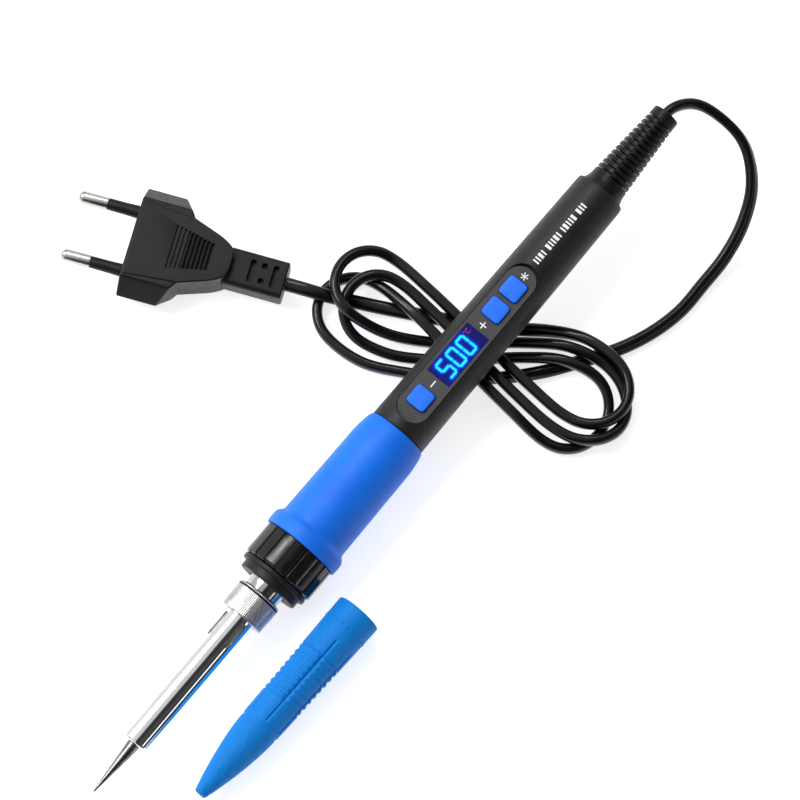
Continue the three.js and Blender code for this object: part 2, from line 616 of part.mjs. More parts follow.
// ---------------------------------------------------------------- plug
// Drawn with X from the cord entry of its boot to the pins, and Z from the surface up.
function plugPieces() {
  const face = PLUG_BOOT_END;
  const half = PLUG_FACE_WIDTH / 2;
  const flat = PLUG_FLAT_WIDTH / 2;
  const mid = PLUG_HEIGHT / 2;
  const blockRear = face - PLUG_BLOCK_LENGTH;
  const tongueRear = face - PLUG_TONGUE_LENGTH;
  const section = polygon([
    [-half, mid], [-flat, 0], [flat, 0], [half, mid], [flat, PLUG_HEIGHT], [-flat, PLUG_HEIGHT],
  ]);
  const prism = new THREE.ExtrudeGeometry(section, { depth: 40, bevelEnabled: false })
    .rotateX(Math.PI / 2).rotateZ(Math.PI / 2).translate(face - 40, 0, 0);
  const blockPlan = polygon([
    [face, -half], [face, half], [face - 12, half], [blockRear, flat - 4], [blockRear, 4 - flat],
    [face - 12, -half],
  ]);
  const tonguePlan = polygon([
    [face, -flat], [face, flat], [face - 17, flat - 2.2], [tongueRear + 3.5, 6.6], [tongueRear + 1, 5],
    [tongueRear, 2.5], [tongueRear, -2.5], [tongueRear + 1, -5], [tongueRear + 3.5, -6.6],
    [face - 17, 2.2 - flat],
  ]);
  const body = join(keep(prism, plate(blockPlan, -1, 15)), keep(prism, plate(tonguePlan, 0.01, PLUG_HEIGHT)));
  const sockets = [1, -1].map((side) => (
    rod(face - 6, face + 1, PIN_R + GAP, 16).translate(0, side * PIN_SPACING / 2, mid)
  ));
  const bootBlock = block(
    0, -PLUG_BOOT_WIDTH / 2, mid - PLUG_BOOT_HEIGHT / 2, tongueRear - GAP, PLUG_BOOT_WIDTH, PLUG_BOOT_HEIGHT,
  );
  const slots = [4.2, 11.2].flatMap((x) => [1, -1].map((side) => (
    block(x, side > 0 ? 3.2 : -8.2, mid - PLUG_BOOT_HEIGHT, 1.8, 5, 2 * PLUG_BOOT_HEIGHT)
  )));
  const pieces = [
    piece('plug_body', cut(body, ...sockets), MATT_BLACK),
    piece('plug_boot', cut(bootBlock, ...slots), MATT_BLACK),
  ];
  [1, -1].forEach((side, i) => {
    const sleeveStart = face + GAP;
    const sleeveEnd = face + PIN_SLEEVE_LENGTH;
    const pinEnd = face + PIN_LENGTH;
    const place = (geometry) => geometry.translate(0, side * PIN_SPACING / 2, mid);
    const pin = turned([
      [face - 5.7, 0], [face - 5.7, 1.2], [sleeveEnd + GAP, 1.2], [sleeveEnd + GAP, PIN_R],
      [pinEnd - 1, PIN_R], [pinEnd - 0.3, PIN_R - 0.6], [pinEnd, 0],
    ], 18);
    const sleeveOutside = [[sleeveStart, 1.5], [sleeveStart, 1.9], [sleeveEnd, 1.9]];
    const sleeve = turnedTube(sleeveOutside, [[sleeveEnd, 1.5]], 18);
    pieces.push(piece(`plug_pin_${i + 1}`, place(pin), NICKEL));
    pieces.push(piece(`pin_sleeve_${i + 1}`, place(sleeve), MATT_BLACK));
  });
  return pieces;
}

// ---------------------------------------------------------------- cap
// Drawn with X from the closed end to the mouth.
function protectiveCap() {
  const outside = [
    [0, 0], [0, 1.5], [1.2, 2.2], [6, 3.5], [12, 4.7], [18, 5.6], [CAP_NOSE, CAP_SHOULDER_R - 0.15],
    [CAP_NOSE + 1, CAP_SHOULDER_R], [CAP_LENGTH - 0.8, CAP_MOUTH_R], [CAP_LENGTH, CAP_MOUTH_R - 0.6],
  ];
  const bore = [[CAP_LENGTH, CAP_BORE_R], [34, CAP_BORE_R - 0.4], [24, 4.6], [10, 2.0], [8, 0]];
  return piece('protective_cap', turned([...outside, ...bore], 24), CAP_BLUE);
}

// ---------------------------------------------------------------- assembly
const iron = new THREE.Group();
iron.position.copy(IRON_TIP);
iron.rotation.y = -IRON_TILT;
iron.add(
  solderingTip(), heaterElement(), heaterFlange(), barrelTube(), barrelNut(), threadedNeck(), neckWasher(),
  flutedCollar(), gripSleeve(), housingHalf('housing_upper', 1), housingHalf('housing_lower', -1),
  housingScrew('housing_screw_front', SCREW_STATIONS[0]),
  housingScrew('housing_screw_rear', SCREW_STATIONS[1]),
  controlPanel(), displayWindow(), displayModule(), ...boardParts(), ...heaterWires(), ...mainsCores(),
  strainRelief(),
);
for (const [name, station] of Object.entries(BUTTON_STATIONS)) {
  iron.add(button(`button_${name}`, station), tactSwitch(`tact_switch_${name}`, station));
}

const plug = new THREE.Group();
plug.position.set(PLUG_ENTRY.x, PLUG_ENTRY.y, PLUG_ENTRY.z - PLUG_HEIGHT / 2);
plug.rotation.z = PLUG_HEADING;
plug.add(...plugPieces());

const cap = new THREE.Group();
cap.position.copy(CAP_START);
cap.rotation.set(0, -CAP_PITCH, CAP_YAW, 'ZYX');
cap.add(protectiveCap());

const model = new THREE.Group();
model.add(iron, mainsLead(), plug, cap);

export default model;
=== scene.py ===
# Mains soldering iron, its wound lead and plug, and its cap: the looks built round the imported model.
import math
import bmesh
import bpy
from mathutils import Matrix, Vector, noise


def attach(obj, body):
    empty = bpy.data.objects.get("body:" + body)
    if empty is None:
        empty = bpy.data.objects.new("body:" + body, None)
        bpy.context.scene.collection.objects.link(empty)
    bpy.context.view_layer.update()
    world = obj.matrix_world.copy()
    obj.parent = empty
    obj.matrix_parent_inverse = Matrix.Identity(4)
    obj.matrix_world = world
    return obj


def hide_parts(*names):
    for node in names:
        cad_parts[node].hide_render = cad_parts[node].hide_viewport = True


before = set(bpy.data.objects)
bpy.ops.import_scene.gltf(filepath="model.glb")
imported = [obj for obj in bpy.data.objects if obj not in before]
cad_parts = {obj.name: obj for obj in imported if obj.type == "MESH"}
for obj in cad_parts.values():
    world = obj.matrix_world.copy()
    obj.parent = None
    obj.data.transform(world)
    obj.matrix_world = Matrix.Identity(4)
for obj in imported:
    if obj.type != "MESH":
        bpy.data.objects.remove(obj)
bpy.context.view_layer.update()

MM = 0.001
TURN = 2 * math.pi

# ------------------------------------------------------------------ driving dimensions (mm)
# Stations along the iron's axis, measured from the point of the tip.
CONE_END = 18.0
BARREL_END = 66.2
NUT_END = 75.1
FLARE_END = 80.0
WASHER_FRONT = 78.2
WASHER_STEP = 80.7
COLLAR_FRONT = 82.2
GRIP_FRONT = 93.2
FLANGE_END = 98.7
GRIP_END = 137.5
HOUSING_END = 231.1
BOOT_RIBS_START = 235.5
BOOT_RIBS_END = 259.2
BOOT_END = 261.7

TIP_BASE_R = 2.0
BARREL_R = 4.8
BARREL_BORE_R = 4.25
NUT_R = 7.15
NECK_R = 4.55
SHOULDER_R = 5.8
FLARE_R = 7.4
WASHER_R = 9.9
WASHER_STEP_R = 11.2
COLLAR_R = 11.8
FLANGE_R = 12.55
GRIP_FRONT_R = 10.9
GRIP_REAR_R = 10.6
HOUSING_FRONT_R = 9.2
HOUSING_REAR_R = 8.05
SPIGOT_R = 7.3
VENT_TURN = math.radians(36)

PANEL_FRONT = 140.8
PANEL_LENGTH = 58.1
PANEL_FRONT_R = 5.2
PANEL_REAR_R = 4.88
PANEL_THICK = 1.0
PANEL_FRONT_HEIGHT = 7.5
PANEL_DROP = 0.62
BUTTON_SIZE = 6.5
BUTTON_CORNER = 1.05
BUTTON_PROUD = 1.0
BUTTON_STATIONS = {"minus": 148.8, "plus": 183.0, "set": 191.1}
WINDOW_START = 156.6
WINDOW_LENGTH = 18.4
WINDOW_WIDTH = 8.4
SCREW_REAR = 216

LEAD_WIDTH = 4.2
LEAD_THICK = 3.2
PIN_R = 2.0
PIN_LENGTH = 19
PIN_SLEEVE_LENGTH = 10
PIN_SPACING = 18.6
PLUG_FACE_WIDTH = 35.3
PLUG_HEIGHT = 13.7
PLUG_FLAT_WIDTH = 25.4
PLUG_BLOCK_LENGTH = 18
PLUG_TONGUE_LENGTH = 31
PLUG_BOOT_END = 47.6
PLUG_BOOT_WIDTH = 11.6
PLUG_BOOT_HEIGHT = 8.6
PLUG_ENTRY = Vector((22, 66, 6.85))
PLUG_HEADING = math.radians(114)
PLUG_APPROACH = 6.5

CAP_LENGTH = 71.0
CAP_MOUTH_R = 7.2
CAP_SHOULDER_R = 6.4
CAP_NOSE = 26
CAP_START = Vector((-111.6, -14.0, 6.06))
CAP_YAW = math.radians(-0.75)
CAP_PITCH = math.radians(0.9)

IRON_TILT = math.radians(4)
IRON_TIP = Vector((-130.7, 10.1, 5.96))


def in_row(place):
    """A place in millimetres as a matrix into the row frame, in metres."""
    return Matrix.Scale(MM, 4) @ place


IRON = in_row(Matrix.Translation(IRON_TIP) @ Matrix.Rotation(-IRON_TILT, 4, "Y"))
PANEL = IRON @ Matrix.Translation((PANEL_FRONT, 0, PANEL_FRONT_HEIGHT)) @ Matrix.Rotation(
    PANEL_DROP / PANEL_LENGTH, 4, "Y"
)
PLUG = in_row(
    Matrix.Translation((PLUG_ENTRY.x, PLUG_ENTRY.y, PLUG_ENTRY.z - PLUG_HEIGHT / 2))
    @ Matrix.Rotation(PLUG_HEADING, 4, "Z")
)
CAP = in_row(
    Matrix.Translation(CAP_START) @ Matrix.Rotation(CAP_YAW, 4, "Z") @ Matrix.Rotation(-CAP_PITCH, 4, "Y")
)


def mix(a, b, t):
    return a + (b - a) * t


def smoothstep(low, high, value):
    t = min(1.0, max(0.0, (value - low) / (high - low)))
    return t * t * (3 - 2 * t)


# ------------------------------------------------------------------ camera, light and floor
CAMERA_AZIMUTH = math.radians(-50.03)
CAMERA_ELEVATION = math.radians(75)
CAMERA_DISTANCE = 2.0
CAMERA_TARGET = Vector((0.01784, 0.01856, 0))
CAMERA_LENS = 304.4


def add_camera():
    right = Vector((math.cos(CAMERA_AZIMUTH), math.sin(CAMERA_AZIMUTH), 0))
    north = Vector((-right.y, right.x, 0))
    forward = north * math.cos(CAMERA_ELEVATION) - Vector((0, 0, math.sin(CAMERA_ELEVATION)))
    up = north * math.sin(CAMERA_ELEVATION) + Vector((0, 0, math.cos(CAMERA_ELEVATION)))
    camera = bpy.data.objects.new("camera", bpy.data.cameras.new("camera"))
    camera.data.lens = CAMERA_LENS
    camera.data.clip_start = 0.01
    camera.matrix_world = Matrix((right, up, -forward)).transposed().to_4x4()
    camera.location = CAMERA_TARGET - forward * CAMERA_DISTANCE
    bpy.context.scene.collection.objects.link(camera)
    bpy.context.scene.camera = camera


def add_area(name, place, target, size, power):
    light = bpy.data.lights.new(name, "AREA")
    light.shape = "RECTANGLE"
    light.size, light.size_y = size
    light.energy = power
    lamp = bpy.data.objects.new(name, light)
    lamp.location = place
    lamp.rotation_euler = (Vector(target) - Vector(place)).to_track_quat("-Z", "Y").to_euler()
    lamp.visible_camera = False
    bpy.context.scene.collection.objects.link(lamp)


def fill_ramp(ramp, stops):
    """Gives a colour ramp its (place, colour) stops."""
    elements = ramp.color_ramp.elements
    elements[0].position, elements[1].position = stops[0][0], stops[-1][0]
    for place, _ in stops[1:-1]:
        elements.new(place)
    for element, (_, colour) in zip(elements, stops):
        element.color = (*colour, 1)

def add_world():
    """White to the camera; what the object sees is banded bright and dark from -Y to +Y."""
    world = bpy.data.worlds.new("studio")
    bpy.context.scene.world = world
    world.use_nodes = True
    nodes, links = world.node_tree.nodes, world.node_tree.links
    nodes.clear()
    coords = nodes.new("ShaderNodeTexCoord")
    split = nodes.new("ShaderNodeSeparateXYZ")
    links.new(coords.outputs["Generated"], split.inputs[0])
    ramp = nodes.new("ShaderNodeValToRGB")
    stops = [
        (0.0, 0.04), (0.20, 0.08), (0.26, 0.04), (0.42, 0.05), (0.47, 0.70), (0.775, 0.85), (0.79, 0.06),
        (0.845, 0.06), (0.86, 0.85), (1.0, 0.95),
    ]
    fill_ramp(ramp, [(place, (level, level, level)) for place, level in stops])
    sideways = nodes.new("ShaderNodeMapRange")
    sideways.inputs["From Min"].default_value = -1
    links.new(split.outputs["Y"], sideways.inputs["Value"])
    links.new(sideways.outputs["Result"], ramp.inputs["Fac"])
    lit = nodes.new("ShaderNodeBackground")
    links.new(ramp.outputs["Color"], lit.inputs["Color"])
    white = nodes.new("ShaderNodeBackground")
    path = nodes.new("ShaderNodeLightPath")
    choose = nodes.new("ShaderNodeMixShader")
    links.new(path.outputs["Is Camera Ray"], choose.inputs[0])
    links.new(lit.outputs[0], choose.inputs[1])
    links.new(white.outputs[0], choose.inputs[2])
    white.inputs["Color"].default_value = (1, 1, 1, 1)
    output = nodes.new("ShaderNodeOutputWorld")
    links.new(choose.outputs[0], output.inputs["Surface"])


def add_floor():
    bpy.ops.mesh.primitive_plane_add(size=6, location=(0, 0, -0.0001))
    floor = bpy.context.object
    floor.name = "studio_floor"
    material = bpy.data.materials.new("floor_white")
    material.use_nodes = True
    shader = material.node_tree.nodes["Principled BSDF"]
    shader.inputs["Base Color"].default_value = (0.7, 0.7, 0.7, 1)
    shader.inputs["Roughness"].default_value = 0.9
    shader.inputs["Specular IOR Level"].default_value = 0.1
    shader.inputs["Emission Color"].default_value = (1, 1, 1, 1)
    shader.inputs["Emission Strength"].default_value = 0.75
    floor.data.materials.append(material)


bpy.context.scene.view_settings.view_transform = "Standard"
add_camera()
add_world()
add_floor()
add_area("key", (-0.25, 0.75, 0.85), (0, 0, 0), (0.5, 0.7), 5)
add_area("strip", (0.1, 0.42, 0.75), (0.02, 0, 0), (1.0, 0.06), 3)
add_area("rim", (0.15, -0.8, 0.35), (0, 0, 0.01), (0.8, 0.12), 0.5)


# ------------------------------------------------------------------ materials
class Finish:
    """A Principled material whose colour, roughness and surface height vary by procedural noise."""

    def __init__(self, name, colour, roughness, metallic=0.0, specular=0.5):
        self.material = bpy.data.materials.new(name)
        self.material.use_nodes = True
        tree = self.material.node_tree
        self.nodes, self.links = tree.nodes, tree.links
        self.shader = self.nodes["Principled BSDF"]
        self.shader.inputs["Metallic"].default_value = metallic
        self.shader.inputs["Specular IOR Level"].default_value = specular
        self.coords = self.nodes.new("ShaderNodeTexCoord")
        self.colour = colour
        self.roughness = roughness

    def noise(self, size, stretch=(1, 1, 1), detail=3):
        """Noise whose grains are about size millimetres, longer along an axis whose stretch is above 1."""
        mapping = self.nodes.new("ShaderNodeMapping")
        mapping.inputs["Scale"].default_value = [1 / (size * MM * s) for s in stretch]
        self.links.new(self.coords.outputs["Object"], mapping.inputs["Vector"])
        texture = self.nodes.new("ShaderNodeTexNoise")
        texture.inputs["Scale"].default_value = 1
        texture.inputs["Detail"].default_value = detail
        self.links.new(mapping.outputs[0], texture.inputs["Vector"])
        return texture.outputs["Fac"]

    def vary_colour(self, factor, other):
        ramp = self.nodes.new("ShaderNodeMapRange")
        ramp.inputs["From Min"].default_value = 0.35
        ramp.inputs["From Max"].default_value = 0.65
        self.links.new(factor, ramp.inputs["Value"])
        blend = self.nodes.new("ShaderNodeMix")
        blend.data_type = "RGBA"
        blend.inputs["A"].default_value = (*self.colour, 1)
        blend.inputs["B"].default_value = (*other, 1)
        self.links.new(ramp.outputs[0], blend.inputs["Factor"])
        self.links.new(blend.outputs["Result"], self.shader.inputs["Base Color"])

    def vary_roughness(self, factor, spread):
        ramp = self.nodes.new("ShaderNodeMapRange")
        ramp.inputs["From Min"].default_value = 0.3
        ramp.inputs["From Max"].default_value = 0.7
        ramp.inputs["To Min"].default_value = self.roughness - spread
        ramp.inputs["To Max"].default_value = self.roughness + spread
        self.links.new(factor, ramp.inputs["Value"])
        self.links.new(ramp.outputs[0], self.shader.inputs["Roughness"])

    def bump(self, factor, depth):
        bump = self.nodes.new("ShaderNodeBump")
        bump.inputs["Distance"].default_value = depth * MM
        self.links.new(factor, bump.inputs["Height"])
        self.links.new(bump.outputs[0], self.shader.inputs["Normal"])


def moulded(name, colour, other, roughness, grain=0.18, depth=0.01, patch=6.0, **extra):
    """Moulded plastic or silicone: fine spark grain, faint cloudy colour, uneven sheen."""
    finish = Finish(name, colour, roughness, **extra)
    finish.vary_colour(finish.noise(patch), other)
    finish.vary_roughness(finish.noise(patch * 0.4), 0.05)
    finish.bump(finish.noise(grain, detail=2), depth)
    return finish.material


def polished(name, colour, other, roughness, stretch=(0.02, 1, 1), depth=0.002):
    """Plated metal, with faint turned lines round the iron's axis unless stretch is even."""
    streak = 5.0
    finish = Finish(name, colour, roughness, metallic=1.0)
    finish.vary_colour(finish.noise(4.0), other)
    finish.vary_roughness(finish.noise(streak, stretch), 0.03)
    finish.bump(finish.noise(streak, stretch), depth)
    return finish.material


def tip_steel():
    """Dark plating: turned lines and cloudy darker patches."""
    finish = Finish("tip_steel", (0.26, 0.26, 0.26), 0.22, metallic=1.0)
    finish.vary_colour(finish.noise(3.5, (0.5, 1, 1), detail=2), (0.17, 0.165, 0.16))
    finish.vary_roughness(finish.noise(1.0, (0.08, 1, 1)), 0.05)
    finish.bump(finish.noise(1.2, (0.06, 1, 1)), 0.004)
    return finish.material


def cap_silicone():
    """Matt silicone: grainy and mottled on the nose, smoother behind it."""
    finish = Finish("cap_silicone", (0.002, 0.215, 0.70), 0.6, specular=0.2)
    finish.vary_colour(finish.noise(0.9, detail=6), (0.003, 0.24, 0.78))
    finish.vary_roughness(finish.noise(0.5), 0.05)
    place = finish.nodes.new("ShaderNodeSeparateXYZ")
    finish.links.new(finish.coords.outputs["Object"], place.inputs[0])
    nose = finish.nodes.new("ShaderNodeMapRange")
    nose.inputs["From Min"].default_value = (CAP_START.x + CAP_NOSE) * MM
    nose.inputs["From Max"].default_value = (CAP_START.x + CAP_NOSE - 0.5) * MM
    nose.inputs["To Min"].default_value = 0.15
    finish.links.new(place.outputs["X"], nose.inputs["Value"])
    grain = finish.nodes.new("ShaderNodeMath")
    grain.operation = "MULTIPLY"
    finish.links.new(finish.noise(0.7, detail=4), grain.inputs[0])
    finish.links.new(nose.outputs[0], grain.inputs[1])
    finish.bump(grain.outputs[0], 0.25)
    return finish.material


def display_glass():
    """Lit display under a clear window: the mesh's own "glow" value turns navy into lit blue, then cyan."""
    finish = Finish("display_glass", (0.002, 0.003, 0.02), 0.12, specular=0.12)
    finish.vary_colour(finish.noise(3.0), (0.003, 0.004, 0.03))
    finish.vary_roughness(finish.noise(2.0), 0.02)
    glow = finish.nodes.new("ShaderNodeAttribute")
    glow.attribute_name = "glow"
    ramp = finish.nodes.new("ShaderNodeValToRGB")
    stops = [
        (0.0, (0.002, 0.005, 0.13)), (0.25, (0.001, 0.018, 0.40)), (0.5, (0.0, 0.06, 1.0)),
        (0.62, (0.0, 0.32, 1.0)), (0.72, (0.0, 0.80, 1.0)), (1.0, (0.02, 0.92, 1.0)),
    ]
    fill_ramp(ramp, stops)
    finish.links.new(glow.outputs["Fac"], ramp.inputs["Fac"])
    finish.links.new(ramp.outputs["Color"], finish.shader.inputs["Emission Color"])
    finish.shader.inputs["Emission Strength"].default_value = 1.0
    return finish.material


def printed(name, colour, painted_glow):
    """Printed mark: slightly uneven ink, plus an even painted glow of the ink's own colour that keeps it
    bright.
    """
    finish = Finish(name, colour, 0.5)
    finish.vary_colour(finish.noise(0.8), [0.9 * c for c in colour])
    finish.bump(finish.noise(0.2), 0.004)
    # Painted glow: the ink emits its own colour, as if lit, though it is no lamp.
    finish.shader.inputs["Emission Color"].default_value = (*colour, 1)
    finish.shader.inputs["Emission Strength"].default_value = painted_glow
    return finish.material


LOOKS = {
    "tip_steel": tip_steel(),
    "chrome": polished("chrome", (0.84, 0.84, 0.85), (0.78, 0.78, 0.80), 0.07),
    # The nut and the neck are the same chrome, copied with a darker base colour. This is painted shade that
    # dims their reflections, and the copies are also rougher.
    "nut_chrome": polished("nut_chrome", (0.50, 0.50, 0.51), (0.44, 0.44, 0.45), 0.25, (1, 1, 1), 0.0005),
    "neck_chrome": polished("neck_chrome", (0.48, 0.48, 0.49), (0.42, 0.42, 0.43), 0.12, (1, 1, 1), 0.0005),
    "nickel": polished("nickel", (0.58, 0.57, 0.55), (0.50, 0.49, 0.47), 0.2, (1, 1, 1), 0.0005),
    "ceramic": moulded("ceramic", (0.80, 0.77, 0.70), (0.72, 0.69, 0.62), 0.6, 0.3, 0.02),
    "gloss_black": moulded(
        "gloss_black", (0.005, 0.005, 0.0055), (0.008, 0.008, 0.0085), 0.18, 0.5, 0.002, specular=0.4
    ),
    "satin_black": moulded(
        "satin_black", (0.008, 0.008, 0.0085), (0.011, 0.011, 0.0115), 0.45, 0.3, 0.003, specular=0.25
    ),
    "matt_black": moulded(
        "matt_black", (0.0125, 0.0125, 0.013), (0.0165, 0.0165, 0.017), 0.45, 0.16, 0.010, specular=0.3
    ),
    "plug_black": moulded(
        "plug_black", (0.006, 0.006, 0.0065), (0.009, 0.009, 0.0095), 0.38, 0.3, 0.008, specular=0.2
    ),
    "boot_black": moulded(
        "boot_black", (0.006, 0.006, 0.0065), (0.009, 0.009, 0.0095), 0.34, 0.3, 0.005, specular=0.22
    ),
    "lead_black": moulded(
        "lead_black", (0.004, 0.004, 0.0045), (0.006, 0.006, 0.0065), 0.2, 0.9, 0.004, 9.0, specular=0.3
    ),
    "seal_black": moulded("seal_black", (0.002, 0.002, 0.002), (0.003, 0.003, 0.003), 0.5, specular=0.1),
    "panel_grey": moulded(
        "panel_grey", (0.052, 0.052, 0.053), (0.060, 0.060, 0.062), 0.5, 0.14, 0.006, specular=0.3
    ),
    "grip_blue": moulded(
        "grip_blue", (0.004, 0.165, 0.86), (0.005, 0.185, 0.91), 0.5, 0.3, 0.006, 12.0, specular=0.3
    ),
    "button_blue": moulded(
        "button_blue", (0.012, 0.185, 0.98), (0.010, 0.17, 0.93), 0.45, 0.25, 0.006, specular=0.3
    ),
    "cap_blue": cap_silicone(),
    "display": display_glass(),
    "white_print_painted_glow": printed("white_print_painted_glow", (0.85, 0.85, 0.85), 0.15),
    "red_print_painted_glow": printed("red_print_painted_glow", (0.45, 0.01, 0.03), 0.25),
    "board_green": moulded("board_green", (0.03, 0.16, 0.07), (0.02, 0.12, 0.05), 0.4, 0.6, 0.01),
    "wire_red": moulded("wire_red", (0.45, 0.05, 0.03), (0.38, 0.04, 0.03), 0.45),
    "wire_white": moulded("wire_white", (0.75, 0.73, 0.68), (0.66, 0.64, 0.58), 0.6),
    "wire_blue": moulded("wire_blue", (0.02, 0.06, 0.40), (0.02, 0.05, 0.34), 0.45),
}


# ------------------------------------------------------------------ mesh helpers
def finished(mesh, crease=35):
    """Smooth shading with the edges sharper than crease degrees kept sharp."""
    for polygon in mesh.polygons:
        polygon.use_smooth = True
    mesh.set_sharp_from_angle(angle=math.radians(crease))
    return mesh


def add_object(name, verts, faces, matrix, look, crease=35):
    mesh = bpy.data.meshes.new(name)
    mesh.from_pydata([matrix @ Vector(v) for v in verts], [], faces)
    shaped = bmesh.new()
    shaped.from_mesh(mesh)
    bmesh.ops.remove_doubles(shaped, verts=shaped.verts, dist=1e-7)
    bmesh.ops.recalc_face_normals(shaped, faces=shaped.faces)
    shaped.to_mesh(mesh)
    shaped.free()
    mesh.materials.append(LOOKS[look])
    thing = bpy.data.objects.new(name, finished(mesh, crease))
    bpy.context.scene.collection.objects.link(thing)
    return thing


def settle(thing, body, slot, *nodes):
    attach(thing, body)
    if nodes:
        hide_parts(*nodes)
    return thing


def rounded(points, steps=4):
    """An outline through (x, y) points; a third value rounds that corner by that distance."""
    made = []
    count = len(points)
    for i, point in enumerate(points):
        here = Vector(point[:2])
        if len(point) == 2:
            made.append(tuple(here))
            continue
        before, after = Vector(points[i - 1][:2]), Vector(points[(i + 1) % count][:2])
        start = here + (before - here).normalized() * min(point[2], (before - here).length / 2)
        end = here + (after - here).normalized() * min(point[2], (after - here).length / 2)
        for k in range(steps + 1):
            t = k / steps
            made.append(tuple(start * (1 - t) ** 2 + here * 2 * t * (1 - t) + end * t ** 2))
    return made


def dense(points, step):
    """Adds points so that no two neighbours in x are more than step apart."""
    made = [points[0]]
    for (x0, y0), (x1, y1) in zip(points, points[1:]):
        parts = max(1, math.ceil(abs(x1 - x0) / step))
        made += [(mix(x0, x1, k / parts), mix(y0, y1, k / parts)) for k in range(1, parts + 1)]
    return made


def turned(profile, segments, shape=None, closed=False):
    """Vertices and faces of (station, radius) points turned about X.

    shape(x, angle, radius, i) gives the new radius at an angle round point i of the profile.
    """
    verts, faces, rings = [], [], []
    for i, (x, radius) in enumerate(profile):
        if radius < 1e-6:
            rings.append([len(verts)] * segments)
            verts.append((x, 0, 0))
            continue
        rings.append(list(range(len(verts), len(verts) + segments)))
        for k in range(segments):
            angle = TURN * k / segments
            r = shape(x, angle, radius, i) if shape else radius
            verts.append((x, -r * math.sin(angle), r * math.cos(angle)))
    pairs = list(zip(rings, rings[1:]))
    if closed:
        pairs.append((rings[-1], rings[0]))
    for a, b in pairs:
        for k in range(segments):
            n = (k + 1) % segments
            corner = [a[k], a[n], b[n], b[k]]
            face = [v for j, v in enumerate(corner) if v != corner[j - 1]]
            if len(face) > 2:
                faces.append(face)
    return verts, faces


def prism(outline, low, high, top_round=0.0, bottom_round=0.0, steps=3):
    """A solid over an outline in X and Y, from z low to high, with its top and bottom edges rounded."""
    centre = Vector((sum(p[0] for p in outline) / len(outline), sum(p[1] for p in outline) / len(outline)))
    layers = []
    for k in range(steps + 1):
        if bottom_round == 0 and k < steps:
            continue
        t = math.pi / 2 * k / steps
        layers.append((low + bottom_round * (1 - math.sin(t)), bottom_round * (1 - math.cos(t))))
    for k in range(steps + 1):
        if top_round == 0 and k > 0:
            continue
        t = math.pi / 2 * k / steps
        layers.append((high - top_round * (1 - math.sin(t)), top_round * (1 - math.cos(t))))
    layers = sorted(set(layers))
    count = len(outline)
    verts, faces = [], []
    for z, inset in layers:
        for i in range(count):
            here = Vector(outline[i])
            before, after = Vector(outline[i - 1]), Vector(outline[(i + 1) % count])
            along = (after - before).normalized()
            inward = Vector((-along.y, along.x))
            if inward.dot(centre - here) < 0:
                inward = -inward
            place = here + inward * inset
            verts.append((place.x, place.y, z))
    for layer in range(len(layers) - 1):
        for i in range(count):
            a, b = layer * count + i, layer * count + (i + 1) % count
            faces.append([a, b, b + count, a + count])
    faces.append(list(range(count))[::-1])
    faces.append(list(range(len(verts) - count, len(verts))))
    return verts, faces


def round_ended(length, front, rear, steps=24):
    points = []
    for k in range(steps + 1):
        angle = math.pi / 2 + math.pi * k / steps
        points.append((front + front * math.cos(angle), front * math.sin(angle)))
    for k in range(steps + 1):
        angle = -math.pi / 2 + math.pi * k / steps
        points.append((length - rear + rear * math.cos(angle), rear * math.sin(angle)))
    return points


def rounded_rectangle(width, height, corner, x=0.0, y=0.0, steps=6):
    points = []
    for quarter, (sx, sy) in enumerate([(1, 1), (-1, 1), (-1, -1), (1, -1)]):
        for k in range(steps + 1):
            angle = math.pi / 2 * (quarter + k / steps)
            points.append((
                x + sx * (width / 2 - corner) + corner * math.cos(angle),
                y + sy * (height / 2 - corner) + corner * math.sin(angle),
            ))
    return points


def applied(thing, *modifiers):
    """Applies (type, settings) modifiers to a piece, in order."""
    for kind, settings in modifiers:
        modifier = thing.modifiers.new(kind.lower(), kind)
        for key, value in settings.items():
            setattr(modifier, key, value)
    graph = bpy.context.evaluated_depsgraph_get()
    mesh = bpy.data.meshes.new_from_object(thing.evaluated_get(graph))
    thing.modifiers.clear()
    thing.data = mesh
    return thing


def boolean(thing, operation, *tools):
    for tool in tools:
        applied(thing, ("BOOLEAN", {"operation": operation, "object": tool, "solver": "EXACT"}))
        bpy.data.objects.remove(tool)
    finished(thing.data)
    applied(thing, ("WEIGHTED_NORMAL", {"keep_sharp": True}))
    return thing


def softened(thing, width, angle=40, segments=3, crease=60):
    """Rounds the edges of a cut piece by width millimetres."""
    applied(thing, ("BEVEL", {
        "width": width * MM, "segments": segments, "limit_method": "ANGLE",
        "angle_limit": math.radians(angle), "use_clamp_overlap": True, "harden_normals": False,
    }))
    finished(thing.data, crease)
    applied(thing, ("WEIGHTED_NORMAL", {"keep_sharp": True}))
    return thing


def tool(verts, faces, matrix):
    return add_object("cutter", verts, faces, matrix, "matt_black")


# ------------------------------------------------------------------ lead
def axis_point(station):
    return (
        IRON_TIP.x + station * math.cos(IRON_TILT), IRON_TIP.y, IRON_TIP.z + station * math.sin(IRON_TILT)
    )


# The route of the lead's centreline, in millimetres: out of the boot and down in one wide bend, then
# three turns of a loose figure of eight under the handle, then to the plug. LOW rests on the surface and
# OVER on another strand.
LOW = 2.3
OVER = 6.4
LEAD_DROP = [
    axis_point(233), axis_point(245), axis_point(256), axis_point(264),
    (139, 6, 22), (141, -2, 20), (140, -12, 17), (133, -21, 13), (123, -26, 9), (112, -28, 5),
    (102, -28, 3), (92, -28, LOW), (82, -26, LOW), (72, -22, LOW), (62, -16, LOW), (49, -7, LOW),
    (36, 6, LOW), (25, 22, LOW), (19, 34, LOW),
]
LEAD_TAIL = [
    (66, -12, OVER), (62, -3, 4), (56, 6, LOW), (47, 20, LOW), (38, 36, LOW), (32, 47, 3), (27, 55, 6),
]

